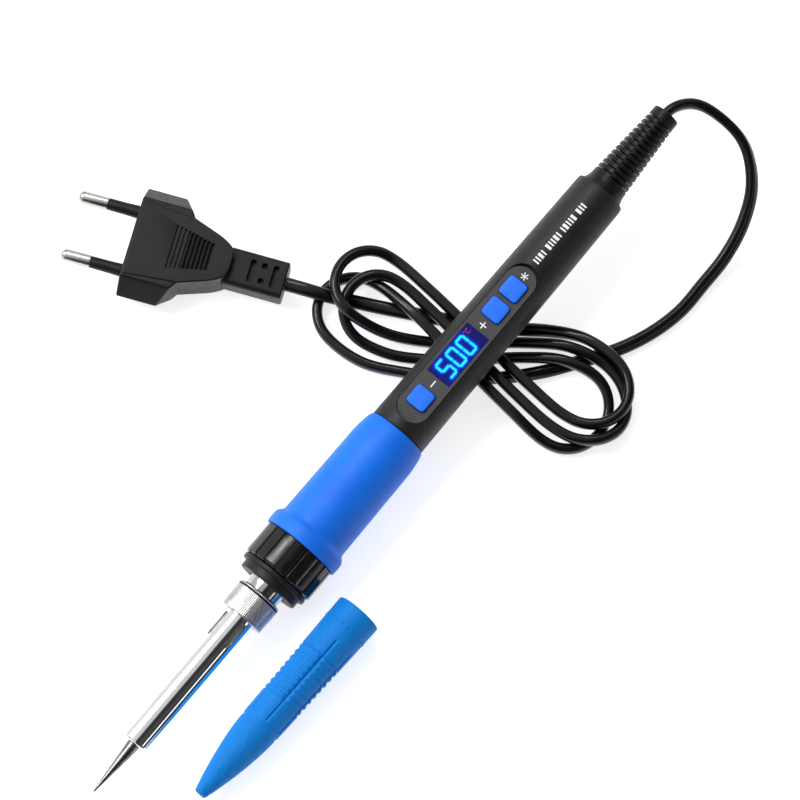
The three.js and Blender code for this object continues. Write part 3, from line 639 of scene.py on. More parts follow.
# Each turn of the figure of eight has two lobes, one towards the plug and one away from it. A lobe is half
# an ellipse: its centre, half width and half length, and the strand's heights at even steps along it.
LEAD_TURNS = [
    (
        ((29, 45), 11, 12, (LOW, LOW, LOW, 4)),
        ((47, -22), 12.5, 11.5, (4, LOW, LOW, 5)),
    ), (
        ((33.5, 40), 10.5, 10.5, (5, 8, 8.5, 7)),
        ((51.5, -22), 12.5, 15.5, (OVER, 6, 3, 5)),
    ), (
        ((37.5, 46), 11, 11, (11, 11, 9, OVER)),
        ((55.5, -22), 11.5, 13, (OVER, 7, 7, 7)),
    ),
]
LOBE_STEPS = 6


def height_at(heights, share):
    place = share * (len(heights) - 1)
    before = min(int(place), len(heights) - 2)
    return mix(heights[before], heights[before + 1], place - before)


def lobe_points(lobe, side):
    """Half an ellipse from its low-x end, by way of its end in Y on the given side, to its high-x end."""
    (x, y), half_width, half_length, heights = lobe
    points = []
    for k in range(LOBE_STEPS + 1):
        share = k / LOBE_STEPS
        angle = math.pi * (1 - share)
        points.append((
            x + half_width * math.cos(angle), y + side * half_length * math.sin(angle),
            height_at(heights, share),
        ))
    return points


def run_points(start, end, heights):
    """The run between two lobes: an even way along Y and an S in X, through the given heights."""
    points = []
    for k, height in enumerate(heights, 1):
        share = k / (len(heights) + 1)
        sway = share * share * (3 - 2 * share)
        points.append((mix(start[0], end[0], sway), mix(start[1], end[1], share), height))
    return points


def lead_turns():
    points = []
    for plug_lobe, far_lobe in LEAD_TURNS:
        near = lobe_points(plug_lobe, 1)
        far = lobe_points(far_lobe, -1)
        if points:
            climb = mix(LOW, near[0][2], 0.4)
            points += run_points(points[-1], near[0], (OVER, 4, LOW, LOW, climb))
        points += [*near, *run_points(near[-1], far[0], (OVER, OVER, OVER, OVER)), *far]
    return points


def lead_end():
    heading = Vector((math.cos(PLUG_HEADING), math.sin(PLUG_HEADING), 0))
    return [PLUG_ENTRY - heading * PLUG_APPROACH, PLUG_ENTRY]


LEAD_ROUTE = [*LEAD_DROP, *lead_turns(), *LEAD_TAIL, *lead_end()]
LEAD_STEP = 0.9


def smooth_route(points, step):
    """Centripetal Catmull-Rom curve through the points, sampled about every step."""
    points = [Vector(p) for p in points]
    padded = [2 * points[0] - points[1], *points, 2 * points[-1] - points[-2]]
    made = []
    for p0, p1, p2, p3 in zip(padded, padded[1:], padded[2:], padded[3:]):
        d0, d1, d2 = (math.sqrt((b - a).length) for a, b in ((p0, p1), (p1, p2), (p2, p3)))
        t1 = ((p1 - p0) / d0 - (p2 - p0) / (d0 + d1) + (p2 - p1) / d1) * d1
        t2 = ((p2 - p1) / d1 - (p3 - p1) / (d1 + d2) + (p3 - p2) / d2) * d1
        count = max(2, round((p2 - p1).length / step))
        for k in range(count):
            t = k / count
            made.append(
                p1 + t1 * t + (3 * (p2 - p1) - 2 * t1 - t2) * t * t + (2 * (p1 - p2) + t1 + t2) * t ** 3
            )
    made.append(points[-1])
    for _ in range(6):
        inner = [(a + 2 * b + c) / 4 for a, b, c in zip(made, made[1:], made[2:])]
        made = [made[0], *inner, made[-1]]
    return [Vector((p.x, p.y, max(p.z, LOW))) for p in made]


def lead_roll(share):
    """Angle of the flat lead's wide side from upright: upright in the turns, flat towards the plug."""
    bend = math.radians(50) * smoothstep(0.035, 0.10, share) * (1 - smoothstep(0.16, 0.21, share))
    tail = math.radians(90) * smoothstep(0.895, 0.945, share)
    return bend + tail


def add_lead():
    path = smooth_route(LEAD_ROUTE, LEAD_STEP)
    sides = 20
    section = []
    for k in range(sides):
        angle = TURN * k / sides
        c, s = math.cos(angle), math.sin(angle)
        section.append((
            math.copysign(abs(c) ** 0.72, c) * LEAD_WIDTH / 2,
            math.copysign(abs(s) ** 0.85, s) * LEAD_THICK / 2,
        ))
    lengths = [0.0]
    for a, b in zip(path, path[1:]):
        lengths.append(lengths[-1] + (b - a).length)
    verts, faces = [], []
    for i, point in enumerate(path):
        along = (path[min(i + 1, len(path) - 1)] - path[max(i - 1, 0)]).normalized()
        upright = (Vector((0, 0, 1)) - along * along.z).normalized()
        side = along.cross(upright)
        roll = lead_roll(lengths[i] / lengths[-1])
        wide = upright * math.cos(roll) + side * math.sin(roll)
        thin = side * math.cos(roll) - upright * math.sin(roll)
        verts += [point + wide * w + thin * t for w, t in section]
    for i in range(len(path) - 1):
        for k in range(sides):
            n = (k + 1) % sides
            faces.append([i * sides + k, i * sides + n, (i + 1) * sides + n, (i + 1) * sides + k])
    faces.append(list(range(sides)))
    faces.append(list(range(len(verts) - sides, len(verts))))
    lead = add_object("lead", verts, faces, Matrix.Scale(MM, 4), "lead_black", 50)
    return settle(lead, "handle", "lead_black", "mains_lead"), [p * MM for p in path]


# ------------------------------------------------------------------ hot end
def add_tip():
    shoulder = CONE_END + 1.4
    shank_end = shoulder + 27
    shank_r, bore_r = 3.8, 2.9
    profile = rounded([
        (0, 0), (0.02, 0.12), (0.3, 0.32, 0.2), (CONE_END - 0.6, TIP_BASE_R, 0.5), (shoulder, TIP_BASE_R),
        (shoulder, shank_r, 0.3), (shank_end, shank_r, 0.3), (shank_end, bore_r), (CONE_END + 5, bore_r),
        (CONE_END + 4, 0),
    ])
    tip = add_object("tip", *turned(profile, 72), IRON, "tip_steel")
    settle(tip, "tip", "tip_steel", "soldering_tip")


def add_barrel():
    flange, flange_r = BARREL_END + 1.6, 5.7
    mouth_r = TIP_BASE_R + 0.55
    profile = rounded([
        (CONE_END, mouth_r, 0.15), (CONE_END, BARREL_R, 1.1), (flange, BARREL_R), (flange, flange_r, 0.2),
        (flange + 0.9, flange_r, 0.2), (flange + 0.9, BARREL_BORE_R), (CONE_END + 1.1, BARREL_BORE_R),
        (CONE_END + 1.1, mouth_r),
    ], 6)
    tube = add_object("barrel", *turned(profile, 96, closed=True), IRON, "chrome")
    vents = []
    vent_start, vent_length = 56.3, 8.9
    for i in range(4):
        outline = [(vent_start + x, y) for x, y in round_ended(vent_length, 1.0, 1.0, 12)]
        turn = Matrix.Rotation(VENT_TURN + i * math.pi / 2, 4, "X")
        vents.append(tool(*prism(outline, 3, 6), IRON @ turn))
    boolean(tube, "DIFFERENCE", *vents)
    softened(tube, 0.12, 50, 2)
    settle(tube, "barrel", "chrome", "barrel_tube")


def add_nut():
    teeth, tooth_depth = 80, 0.10
    front_r, seat_r, thread_r = BARREL_R + 0.2, 6.0, NECK_R + 0.25
    groove_r = NUT_R - 0.55

    def knurl(x, angle, radius, i):
        if radius < NUT_R - 0.2:
            return radius
        return radius - tooth_depth * (1 - math.cos(angle * teeth)) / 2

    profile = rounded([
        (BARREL_END, front_r, 0.2), (BARREL_END, NUT_R - 0.1, 0.5), (NUT_END - 1.25, NUT_R),
        (NUT_END - 1.2, groove_r), (NUT_END - 0.75, groove_r), (NUT_END - 0.7, NUT_R),
        (NUT_END, NUT_R - 0.1, 0.3), (NUT_END, thread_r, 0.3), (BARREL_END + 2.8, thread_r),
        (BARREL_END + 2.8, seat_r), (BARREL_END + 1.3, seat_r), (BARREL_END + 1.3, front_r),
    ])
    nut = add_object("nut", *turned(dense(profile, 1.5), teeth * 5, knurl, True), IRON, "nut_chrome", 50)
    settle(nut, "nut", "chrome", "barrel_nut")
    ring_r, ring_start = NUT_R - 0.02, NUT_END - 1.18
    ring_end = ring_start + 0.42
    ring = rounded([
        (ring_start, ring_r - 0.5), (ring_start, ring_r, 0.12),
        (ring_end, ring_r, 0.12), (ring_end, ring_r - 0.5),
    ])
    seal = add_object("nut_seal", *turned(ring, 120, closed=True), IRON, "seal_black")
    settle(seal, "nut", "gloss_black")


def add_neck():
    start, shoulder, steps = BARREL_END + 3.1, NUT_END + 0.1, 14
    flare = []
    for i in range(steps + 1):
        t = i / steps
        flare.append((mix(shoulder + 0.2, FLARE_END, t), mix(SHOULDER_R, FLARE_R, t ** 5)))
    profile = [
        (start, 3.3), (start, NECK_R), (shoulder, NECK_R), (shoulder, SHOULDER_R - 0.2), *flare,
        (FLARE_END + 0.6, FLARE_R), (FLARE_END + 0.6, 3.3),
    ]
    neck = add_object("neck", *turned(profile, 96, closed=True), IRON, "neck_chrome")
    settle(neck, "handle", "chrome", "threaded_neck")


def add_washer():
    profile = rounded([
        (WASHER_FRONT, 6.2, 0.3), (WASHER_FRONT, WASHER_R, 0.35), (WASHER_STEP, WASHER_R, 0.1),
        (WASHER_STEP, WASHER_STEP_R, 0.5), (COLLAR_FRONT - 0.1, WASHER_STEP_R, 0.2),
        (COLLAR_FRONT - 0.1, FLARE_R + 0.4), (FLARE_END, FLARE_R + 0.4),
    ])
    washer = add_object("washer", *turned(profile, 128, closed=True), IRON, "satin_black")
    settle(washer, "handle", "gloss_black", "neck_washer")


def add_collar():
    flutes = 18

    def fluted(x, angle, radius, i):
        if radius < COLLAR_R - 2.0:
            return radius
        phase = (angle * flutes / TURN + 0.5) % 1.0 - 0.5
        off = abs(phase) * TURN / flutes
        flat = (COLLAR_R - 0.05) * math.cos(math.pi / flutes) / math.cos(math.pi / flutes - off)
        facet = mix(flat, COLLAR_R - 0.04, 0.55)
        groove = 0.42 * (1 - smoothstep(0.012, 0.040, off))
        return radius - (COLLAR_R - facet) - groove

    rear = GRIP_FRONT - 0.1
    profile = rounded([
        (COLLAR_FRONT, 7.6), (COLLAR_FRONT, COLLAR_R - 0.9, 0.2), (COLLAR_FRONT + 1.0, COLLAR_R, 0.5),
        (rear, COLLAR_R, 0.2), (rear, 7.6),
    ])
    verts, faces = turned(dense(profile, 2.0), flutes * 24, fluted, True)
    collar = add_object("collar", verts, faces, IRON, "gloss_black", 30)
    settle(collar, "collar", "gloss_black", "fluted_collar")


# ------------------------------------------------------------------ handle
def add_grip():
    profile = rounded([
        (GRIP_FRONT, SPIGOT_R + 0.3), (GRIP_FRONT, COLLAR_R + 0.1),
        (GRIP_FRONT - 0.02, FLANGE_R - 0.1, 0.6), (GRIP_FRONT + 1.4, FLANGE_R, 0.6),
        (FLANGE_END - 1.2, FLANGE_R, 1.2), (FLANGE_END + 0.2, GRIP_FRONT_R + 0.05, 1.0),
        (FLANGE_END + 3, GRIP_FRONT_R, 1.5), (GRIP_END - 6, GRIP_REAR_R, 2.5),
        (GRIP_END - 1.6, GRIP_REAR_R - 0.62, 1.5), (GRIP_END - 0.05, GRIP_REAR_R - 1.25, 0.45),
        (GRIP_END, SPIGOT_R + 0.3),
    ], 8)
    grip = add_object("grip", *turned(dense(profile, 3.0), 144, closed=True), IRON, "grip_blue", 50)
    settle(grip, "handle", "grip_blue", "grip_sleeve")


def housing_radius(station):
    return mix(HOUSING_FRONT_R, HOUSING_REAR_R, (station - GRIP_END) / (HOUSING_END - GRIP_END))


def housing_blank(name):
    """The handle as one solid: front spigot, tapered body with rounded ends, and the boot's hole."""
    start, shoulder = COLLAR_FRONT + 1.0, GRIP_END + 0.1
    boot_seat = HOUSING_END - 0.7
    profile = rounded([
        (start, 0), (start, SPIGOT_R, 0.3), (shoulder, SPIGOT_R), (shoulder, HOUSING_FRONT_R, 0.3),
        (HOUSING_END, HOUSING_REAR_R, 1.9), (HOUSING_END, 7.3, 0.3), (boot_seat, 7.2), (boot_seat, 0),
    ], 6)
    return add_object(name, *turned(profile, 128), IRON, "matt_black")


def half_box(side):
    outline = [(60, -20), (260, -20), (260, 20), (60, 20)]
    low, high = (0.04, 30) if side > 0 else (-30, -0.04)
    return tool(*prism(outline, low, high), IRON)


def panel_pocket():
    margin = 0.15
    outline = round_ended(PANEL_LENGTH + 0.9, PANEL_FRONT_R + margin, PANEL_REAR_R + margin, 40)
    return tool(*prism([(x - margin, y) for x, y in outline], -PANEL_THICK - 0.2, 6), PANEL)


def add_housing():
    upper = housing_blank("housing_top")
    boolean(upper, "INTERSECT", half_box(1))
    boolean(upper, "DIFFERENCE", panel_pocket())
    softened(upper, 0.18, 38, 2, 45)
    settle(upper, "handle", "matt_black", "housing_upper")
    lower = housing_blank("housing_base")
    boolean(lower, "INTERSECT", half_box(-1))
    recess_r, recess_depth = 2.25, 2.9
    recess_end = recess_depth - housing_radius(SCREW_REAR)
    place = IRON @ Matrix.Translation((SCREW_REAR, 0, 0)) @ Matrix.Rotation(-math.pi / 2, 4, "Y")
    recess = tool(*turned([(-12, 0), (-12, recess_r), (recess_end, recess_r), (recess_end, 0)], 40), place)
    boolean(lower, "DIFFERENCE", recess)
    softened(lower, 0.18, 38, 2, 45)
    settle(lower, "handle", "matt_black", "housing_lower")


def add_panel():
    outline = round_ended(PANEL_LENGTH, PANEL_FRONT_R, PANEL_REAR_R, 40)
    panel = add_object("panel", *prism(outline, -PANEL_THICK, 0), PANEL, "panel_grey")
    holes = []
    hole_size = BUTTON_SIZE + 0.4
    for station in BUTTON_STATIONS.values():
        hole = rounded_rectangle(hole_size, hole_size, BUTTON_CORNER + 0.2, station - PANEL_FRONT)
        holes.append(tool(*prism(hole, -3, 3), PANEL))
    middle = WINDOW_START - PANEL_FRONT + WINDOW_LENGTH / 2
    window = rounded_rectangle(WINDOW_LENGTH + 0.06, WINDOW_WIDTH + 0.06, 0.15, middle, 0, 2)
    holes.append(tool(*prism(window, -3, 3), PANEL))
    boolean(panel, "DIFFERENCE", *holes)
    softened(panel, 0.1, 50, 2)
    settle(panel, "handle", "panel_grey", "control_panel")


def add_button(name, station):
    x = station - PANEL_FRONT
    foot = -PANEL_THICK - 0.6
    verts, faces = prism(
        rounded_rectangle(BUTTON_SIZE, BUTTON_SIZE, BUTTON_CORNER, x, 0, 8), foot, BUTTON_PROUD, 0.45, 0, 6
    )
    crown = 0.10
    top = faces.pop()
    ring = [verts[i] for i in top]
    inner = top
    for share in (0.66, 0.33):
        fresh = []
        height = BUTTON_PROUD + crown * (1 - share ** 2) - crown * 0.2
        for px, py, _ in ring:
            fresh.append(len(verts))
            verts.append((mix(x, px, share), py * share, height))
        faces += [[inner[i - 1], inner[i], fresh[i], fresh[i - 1]] for i in range(len(fresh))]
        inner = fresh
    faces.append(inner)
    button = add_object(f"key_{name}", verts, faces, PANEL, "button_blue", 50)
    settle(button, f"{name}_key", "button_blue", f"button_{name}")


# ------------------------------------------------------------------ display and marks
DIGIT_PITCH = 4.55
DIGIT_HALF_HEIGHT = 2.9
DIGIT_HALF_WIDTH = 1.42
DIGIT_GAP = 0.42
STROKE = 0.34
LIT_SEGMENTS = {"5": "afgcd", "0": "abcdef"}


def digit_segments(digit, x):
    """Start and end of each lit bar of a seven-segment digit centred on x."""
    w, h, g = DIGIT_HALF_WIDTH, DIGIT_HALF_HEIGHT, DIGIT_GAP
    bars = {
        "a": ((-w + g, h), (w - g, h)), "b": ((w, h - g), (w, g)), "c": ((w, -g), (w, -h + g)),
        "d": ((-w + g, -h), (w - g, -h)), "e": ((-w, -g), (-w, -h + g)), "f": ((-w, h - g), (-w, g)),
        "g": ((-w + g, 0), (w - g, 0)),
    }
    return [[(x + px, py) for px, py in bars[bar]] for bar in LIT_SEGMENTS[digit]]


def distance_to(bar, x, y):
    (ax, ay), (bx, by) = bar
    dx, dy = bx - ax, by - ay
    t = max(0.0, min(1.0, ((x - ax) * dx + (y - ay) * dy) / (dx * dx + dy * dy)))
    return math.hypot(x - ax - t * dx, y - ay - t * dy)


def grid_rim(columns, rows):
    """Indices round the edge of a grid of points, which are numbered column by column."""
    stride = rows + 1
    rim = [i * stride for i in range(columns + 1)]
    rim += [columns * stride + j for j in range(1, rows + 1)]
    rim += [i * stride + rows for i in range(columns - 1, -1, -1)]
    return rim + list(range(rows - 1, 0, -1))

def add_display():
    """The window with its lit digits: a fine grid that stores how brightly each point glows."""
    step = 0.115
    x0 = WINDOW_START - PANEL_FRONT
    columns, rows = round(WINDOW_LENGTH / step), round(WINDOW_WIDTH / step)
    bars = []
    for i, digit in enumerate("500"):
        bars += digit_segments(digit, x0 + 3.75 + i * DIGIT_PITCH)
    verts, faces, glow = [], [], []
    for i in range(columns + 1):
        for j in range(rows + 1):
            x, y = x0 + WINDOW_LENGTH * i / columns, -WINDOW_WIDTH / 2 + WINDOW_WIDTH * j / rows
            edge = i in (0, columns) or j in (0, rows)
            verts.append((x, y, -0.03 if edge else 0.0))
            gap = min(distance_to(bar, x, y) for bar in bars)
            core = 1 - smoothstep(STROKE - 0.06, STROKE + 0.08, gap)
            halo = 0.62 * math.exp(-((max(0.0, gap - STROKE) / 0.55) ** 1.6))
            glow.append(max(core, halo))
    stride = rows + 1
    for i in range(columns):
        for j in range(rows):
            a = i * stride + j
            faces.append([a, a + stride, a + stride + 1, a + 1])
    rim = grid_rim(columns, rows)
    base = len(verts)
    for index in rim:
        verts.append((verts[index][0], verts[index][1], -PANEL_THICK))
        glow.append(0.0)
    for k, index in enumerate(rim):
        n = (k + 1) % len(rim)
        faces.append([index, rim[n], base + n, base + k][::-1])
    faces.append([base + k for k in range(len(rim))][::-1])
    mesh = bpy.data.meshes.new("display")
    mesh.from_pydata([PANEL @ Vector(v) for v in verts], [], faces)
    mesh.attributes.new("glow", "FLOAT", "POINT").data.foreach_set("value", glow)
    mesh.materials.append(LOOKS["display"])
    display = bpy.data.objects.new("display", finished(mesh))
    bpy.context.scene.collection.objects.link(display)
    settle(display, "handle", "display_navy", "display_window")


def bar_outline(x, y, length, width, angle=0.0):
    """A bar with rounded ends, centred on (x, y)."""
    made = []
    for px, py in rounded_rectangle(length, width, width * 0.3, 0, 0, 3):
        made.append((
            x + px * math.cos(angle) - py * math.sin(angle), y + px * math.sin(angle) + py * math.cos(angle)
        ))
    return made


def add_marks():
    """The printed minus, plus and star beside the keys, and the degree mark on the display."""
    low, high = -0.05, 0.05

    def at(station):
        return station - PANEL_FRONT

    def joined(name, outlines, look, slot):
        verts, faces = [], []
        for outline in outlines:
            more_verts, more_faces = prism(outline, low, high)
            faces += [[len(verts) + v for v in face] for face in more_faces]
            verts += more_verts
        settle(add_object(name, verts, faces, PANEL, look), "handle", slot)

    joined("minus_mark", [bar_outline(at(154.4), 0, 2.4, 0.36)], "white_print_painted_glow", "panel_grey")
    joined("plus_mark", [
        bar_outline(at(177.2), 0, 2.4, 0.36), bar_outline(at(177.2), 0, 2.4, 0.36, math.pi / 2),
    ], "white_print_painted_glow", "panel_grey")
    joined("star_mark", [
        bar_outline(at(196.2), 0, 2.5, 0.30, math.pi / 2 + math.pi * k / 3) for k in range(3)
    ], "white_print_painted_glow", "panel_grey")
    ring = []
    centre = Vector((at(173.2), 2.45))
    dashes = 9
    for k in range(dashes):
        angle = math.radians(50 + 260 * (k + 0.5) / dashes)
        x, y = centre.x + 0.62 * math.cos(angle), centre.y + 0.72 * math.sin(angle)
        ring.append(bar_outline(x, y, 0.42, 0.2, angle + math.pi / 2))
    ring.append(rounded_rectangle(0.4, 0.4, 0.19, centre.x - 1.15, centre.y + 0.62, 4))
    joined("degree_mark", ring, "red_print_painted_glow", "display_navy")


def add_rating_bars():
    """A plain row of white bars where the handle is printed, wrapped on its taper."""
    height, thin, wide, gap, space = 2.1, 0.5, 0.9, 0.55, 0.9
    columns, rows = 6, 8
    stride, layer = rows + 1, (columns + 1) * (rows + 1)
    rim = grid_rim(columns, rows)
    verts, faces = [], []
    start = 201.3
    for mark in "1121 21121 12112 211":
        if mark == " ":
            start += space
            continue
        length = wide if mark == "2" else thin
        base = len(verts)
        for lift in (0.0, 0.05):
            for i in range(columns + 1):
                for j in range(rows + 1):
                    station = start + length * i / columns
                    across = height * (j / rows - 0.5)
                    radius = housing_radius(station) - 0.02 + lift
                    verts.append((station, across, math.sqrt(radius ** 2 - across ** 2)))
        for i in range(columns):
            for j in range(rows):
                a = base + i * stride + j
                faces.append([a, a + 1, a + stride + 1, a + stride])
                faces.append([a + layer, a + layer + stride, a + layer + stride + 1, a + layer + 1])
        for k, index in enumerate(rim):
            n = rim[(k + 1) % len(rim)]
            faces.append([base + index, base + n, base + n + layer, base + index + layer])
        start += length + gap
    settle(add_object("rating_bars", verts, faces, IRON, "white_print_painted_glow"), "handle", "matt_black")


# ------------------------------------------------------------------ strain relief
def add_boot():
    """Ribbed boot: slots cut from the left and the right, staggered, so that it bends every way."""
    ribs = 13
    pitch = (BOOT_RIBS_END - BOOT_RIBS_START) / ribs

    def slotted(x, angle, radius, i):
        if radius < 3.5 or not BOOT_RIBS_START - 0.5 < x < BOOT_RIBS_END + 0.5:
            return radius
        signed = angle if angle < math.pi else angle - TURN
        shift = 0.0 if signed > 0 else 0.35
        phase = ((x - BOOT_RIBS_START) / pitch - shift) % 1.0
        index = math.floor((x - BOOT_RIBS_START) / pitch - shift)
        if not 0 <= index < ribs:
            return radius
        reach = abs(signed)
        deep = min(1.9, radius - 3.1) * smoothstep(math.radians(1), math.radians(3), reach)
        deep *= 1 - smoothstep(math.radians(177), math.radians(179), reach)
        side = math.sin(min(reach, math.pi - 1e-3)) ** 2
        width = mix(0.20, 0.46, side)
        return radius - deep * (1 if phase < width else 0)

    bore, root = 2.9, HOUSING_END - 0.6
    profile = rounded([
        (root, bore), (root, 6.9, 0.3), (HOUSING_END + 0.5, 6.85, 0.5), (BOOT_RIBS_START - 2.2, 6.15, 1.5),
        (BOOT_RIBS_START, 6.0, 0.3), (BOOT_RIBS_END, 4.35, 0.3), (BOOT_END, 4.3, 0.5),
        (BOOT_END, bore, 0.4),
    ], 5)
    boot = add_object("boot", *turned(dense(profile, 0.11), 180, slotted, True), IRON, "boot_black", 40)
    settle(boot, "handle", "matt_black", "strain_relief")


# ------------------------------------------------------------------ plug
def hexagon(name, start, end, shrink):
    """A slice of the plug's six-sided bar from x start to x end, made smaller all round by shrink."""
    half, flat = PLUG_FACE_WIDTH / 2 - shrink, PLUG_FLAT_WIDTH / 2 - shrink * 0.7
    low, mid, high = shrink, PLUG_HEIGHT / 2, PLUG_HEIGHT - shrink
    section = [(-half, mid), (-flat, low), (flat, low), (half, mid), (flat, high), (-flat, high)]
    verts = [(x, y, z) for x in (start, end) for y, z in section]
    sides = [[k, (k + 1) % 6, (k + 1) % 6 + 6, k + 6] for k in range(6)]
    return add_object(name, verts, [*sides, list(range(6)), list(range(6, 12))], PLUG, "plug_black", 30)


def add_plug():
    """Six-sided block with slanted rear corners and a raised flat tongue that narrows to the boot."""
    face = PLUG_BOOT_END
    half, flat, mid = PLUG_FACE_WIDTH / 2, PLUG_FLAT_WIDTH / 2, PLUG_HEIGHT / 2
    rear, tongue_rear = face - PLUG_BLOCK_LENGTH, face - PLUG_TONGUE_LENGTH
    body = hexagon("plug_shell", face - 40, face, 0.3)
    plan = [
        (face + 1, -half - 1), (face + 1, half + 1), (face - 12, half + 1), (face - 12, half),
        (rear, flat - 4), (rear, 4 - flat), (face - 12, -half), (face - 12, -half - 1),
    ]
    boolean(body, "INTERSECT", tool(*prism(plan, -1, 15), PLUG))
    softened(body, 0.6, 20, 3)
    tongue = hexagon("tongue", face - 41, face - 0.6, 0.0)
    tongue_plan = rounded([
        (face + 1, 0.6 - flat), (face + 1, flat - 0.6), (face - 17, flat - 2.4),
        (tongue_rear + 4.2, 6.9, 2.5), (tongue_rear, 4.2, 3.5), (tongue_rear, -4.2, 3.5),
        (tongue_rear + 4.2, -6.9, 2.5), (face - 17, 2.4 - flat),
    ], 6)
    boolean(tongue, "INTERSECT", tool(*prism(tongue_plan, -1, 15), PLUG))
    softened(tongue, 0.5, 20, 3)
    boolean(body, "UNION", tongue)
    grooves = []
    for k in range(10):
        x = face - 12.6 - 1.3 * k
        reach = mix(7.0, 4.4, k / 9)
        outline = rounded_rectangle(0.62, 2 * reach, 0.3, x, 0, 4)
        grooves.append(tool(*prism(outline, PLUG_HEIGHT - 0.9, PLUG_HEIGHT + 1), PLUG))
        grooves.append(tool(*prism(outline, -1, 0.9), PLUG))
    boolean(body, "DIFFERENCE", *grooves)
    settle(body, "handle", "matt_black", "plug_body")

    outline = rounded_rectangle(PLUG_BOOT_WIDTH, PLUG_BOOT_HEIGHT, 1.6, 0, 0, 6)
    verts, faces = prism(outline, 0.15, tongue_rear + 1.5, 0.2, 0.5)
    boot = add_object("plug_relief", [(z, x, y + mid) for x, y, z in verts], faces, PLUG, "plug_black")
    cuts = []
    recesses = [rounded_rectangle(1.7, 7.0, 0.8, x, 0, 6) for x in (3.6, 10.6)]
    recesses += [rounded_rectangle(1.9, 1.9, 0.94, 7.1, y, 6) for y in (2.4, -2.4)]
    for recess in recesses:
        cuts.append(tool(*prism(recess, mid + 2.4, mid + 9), PLUG))
        cuts.append(tool(*prism(recess, mid - 9, mid - 2.4), PLUG))
    boolean(boot, "DIFFERENCE", *cuts)
    softened(boot, 0.18, 45, 2)
    settle(boot, "handle", "matt_black", "plug_boot")

    sleeve_end, end = face + PIN_SLEEVE_LENGTH, face + PIN_LENGTH
    pin_profile = rounded([
        (face - 2, 0), (face - 2, 1.2), (sleeve_end + 0.05, 1.2), (sleeve_end + 0.05, PIN_R, 0.15),
        (end - 0.9, PIN_R, 0.5), (end, PIN_R - 0.7, 0.4), (end, 0),
    ], 5)
    sleeve_profile = rounded([
        (face - 0.5, 1.3), (face - 0.5, 2.0), (face + 0.6, 2.0, 0.3), (face + 4.0, 1.85, 0.5),
        (sleeve_end, 1.8, 0.15), (sleeve_end, 1.3),
    ], 4)
    pieces = [body, boot]
    for i, side in enumerate((1, -1), 1):
        place = PLUG @ Matrix.Translation((0, side * PIN_SPACING / 2, mid))
        pin = add_object(f"pin_{i}", *turned(pin_profile, 48), place, "nickel")
        sleeve = add_object(f"sleeve_{i}", *turned(sleeve_profile, 48, closed=True), place, "plug_black")
        settle(pin, "handle", "nickel", f"plug_pin_{i}")
        settle(sleeve, "handle", "matt_black", f"pin_sleeve_{i}")
        pieces += [pin, sleeve]
    return pieces


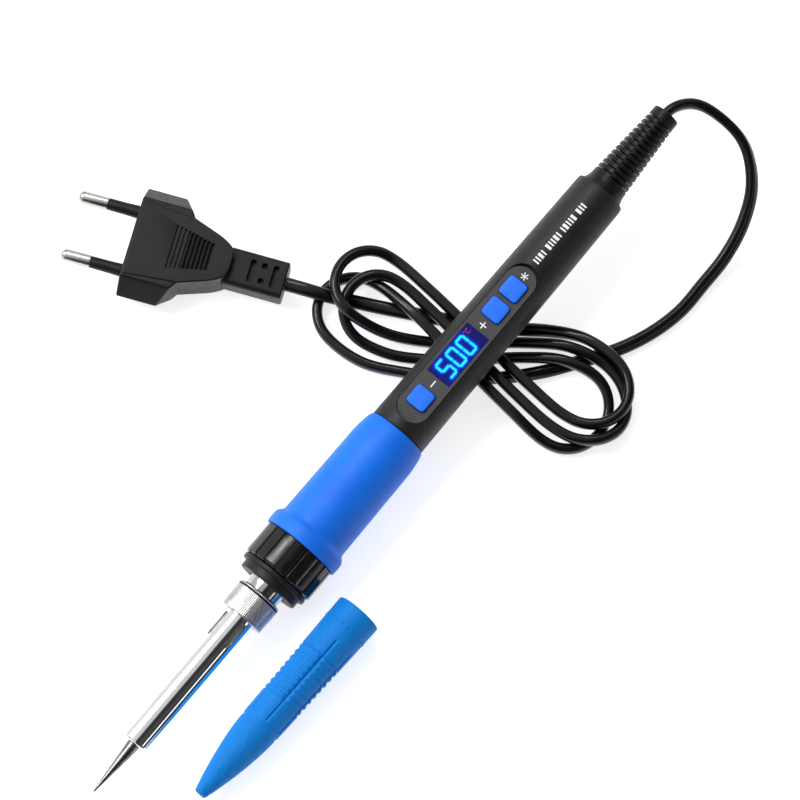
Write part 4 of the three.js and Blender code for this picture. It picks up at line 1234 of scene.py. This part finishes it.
# ------------------------------------------------------------------ cap
def add_cap():
    """Slip-on cap: plain pointed nose, then six panels with cross ribs between long grooves."""
    panels = 6
    groove_start, groove_end = 27.6, 60.3
    ribs_start, rib_pitch, ribs = 36.0, 2.2, 8

    def moulded_relief(x, angle, radius, i):
        if radius < 1.6 or i >= outer_count:
            return radius
        phase = (angle * panels / TURN + 0.29) % 1.0 - 0.5
        off = abs(phase) * TURN / panels * radius
        ends = smoothstep(groove_start, groove_start + 1.2, x)
        ends *= 1 - smoothstep(groove_end - 1.2, groove_end, x)
        if x < CAP_NOSE + 2:
            ends = 0
        groove = 0.46 * ends * (1 - smoothstep(0.15, 0.42, off))
        along = (x - ribs_start) / rib_pitch
        rib = 0.0
        if 0 <= along <= ribs:
            across = smoothstep(0.6, 1.1, off)
            rib = 0.34 * across * (1 - smoothstep(0.16, 0.34, abs(along % 1.0 - 0.5)))
        ring = 0.22 * (1 - smoothstep(0.25, 0.65, abs(x - CAP_NOSE - 0.5)))
        rough = 0.0
        if x < CAP_NOSE:
            place = Vector((x, radius * math.cos(angle), radius * math.sin(angle)))
            rough = 0.07 * noise.noise(1.7 * place)
        return radius - groove + rib - 0.30 * (0 <= along <= ribs) - ring + rough

    nose = [(0, 0), (0, 1.5), (0.35, 1.95)]
    for k in range(1, 25):
        t = k / 24
        x = mix(0.35, CAP_NOSE, t)
        nose.append((x, 1.95 + (CAP_SHOULDER_R - 0.15 - 1.95) * (1 - (1 - t) ** 1.62)))
    outer = nose + rounded([
        (CAP_NOSE + 0.6, CAP_SHOULDER_R), (CAP_LENGTH, CAP_MOUTH_R, 0.7),
        (CAP_LENGTH, CAP_MOUTH_R - 1.3, 0.6),
    ], 6)
    outer = dense(outer, 0.22)
    outer_count = len(outer)
    inner = [(34, 5.2), (24, 4.6), (10, 2.0), (8, 0)]
    cap = add_object("cap", *turned(outer + inner, 168, moulded_relief), CAP, "cap_blue", 60)
    settle(cap, "cap", "cap_blue", "protective_cap")

    dots, dot_station = 22, 64.5
    dot = [(-0.1, 0), (-0.1, 0.5), (0.06, 0.48), (0.13, 0.36), (0.16, 0.2), (0.17, 0)]
    radius = mix(CAP_SHOULDER_R, CAP_MOUTH_R, (dot_station - CAP_NOSE) / (CAP_LENGTH - CAP_NOSE))
    outward = Matrix.Translation((dot_station, 0, radius)) @ Matrix.Rotation(-math.pi / 2, 4, "Y")
    dot_verts, dot_faces = turned(dot, 16)
    verts, faces = [], []
    for k in range(dots):
        place = Matrix.Rotation(TURN * (k + 0.5) / dots, 4, "X") @ outward
        faces += [[len(verts) + v for v in face] for face in dot_faces]
        verts += [place @ Vector(v) for v in dot_verts]
    settle(add_object("cap_dots", verts, faces, CAP, "cap_blue", 60), "cap", "cap_blue")


# ------------------------------------------------------------------ inner pieces kept from the model
INNER_PIECES = {
    "ceramic": ("heater_element", "heater_flange", "fuse"),
    "matt_black": (
        "display_module", "triac", "capacitor", "control_chip", "tact_switch_minus", "tact_switch_plus",
        "tact_switch_set",
    ),
    "board_green": ("main_board",),
    "nickel": ("housing_screw_front", "housing_screw_rear"),
    "wire_red": ("heater_wire_1", "heater_wire_2", "live_core"),
    "wire_white": ("heater_wire_3", "heater_wire_4"),
    "wire_blue": ("neutral_core",),
}

def dress_inner_pieces():
    for look, nodes in INNER_PIECES.items():
        for node in nodes:
            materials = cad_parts[node].data.materials
            materials.clear()
            materials.append(LOOKS[look])

# ------------------------------------------------------------------ build
lead, lead_path = add_lead()
plug_pieces = add_plug()
add_tip()
add_barrel()
add_nut()
add_neck()
add_washer()
add_collar()
add_grip()
add_housing()
add_panel()
for key_name, key_station in BUTTON_STATIONS.items():
    add_button(key_name, key_station)
add_display()
add_marks()
add_rating_bars()
add_boot()
add_cap()
dress_inner_pieces()
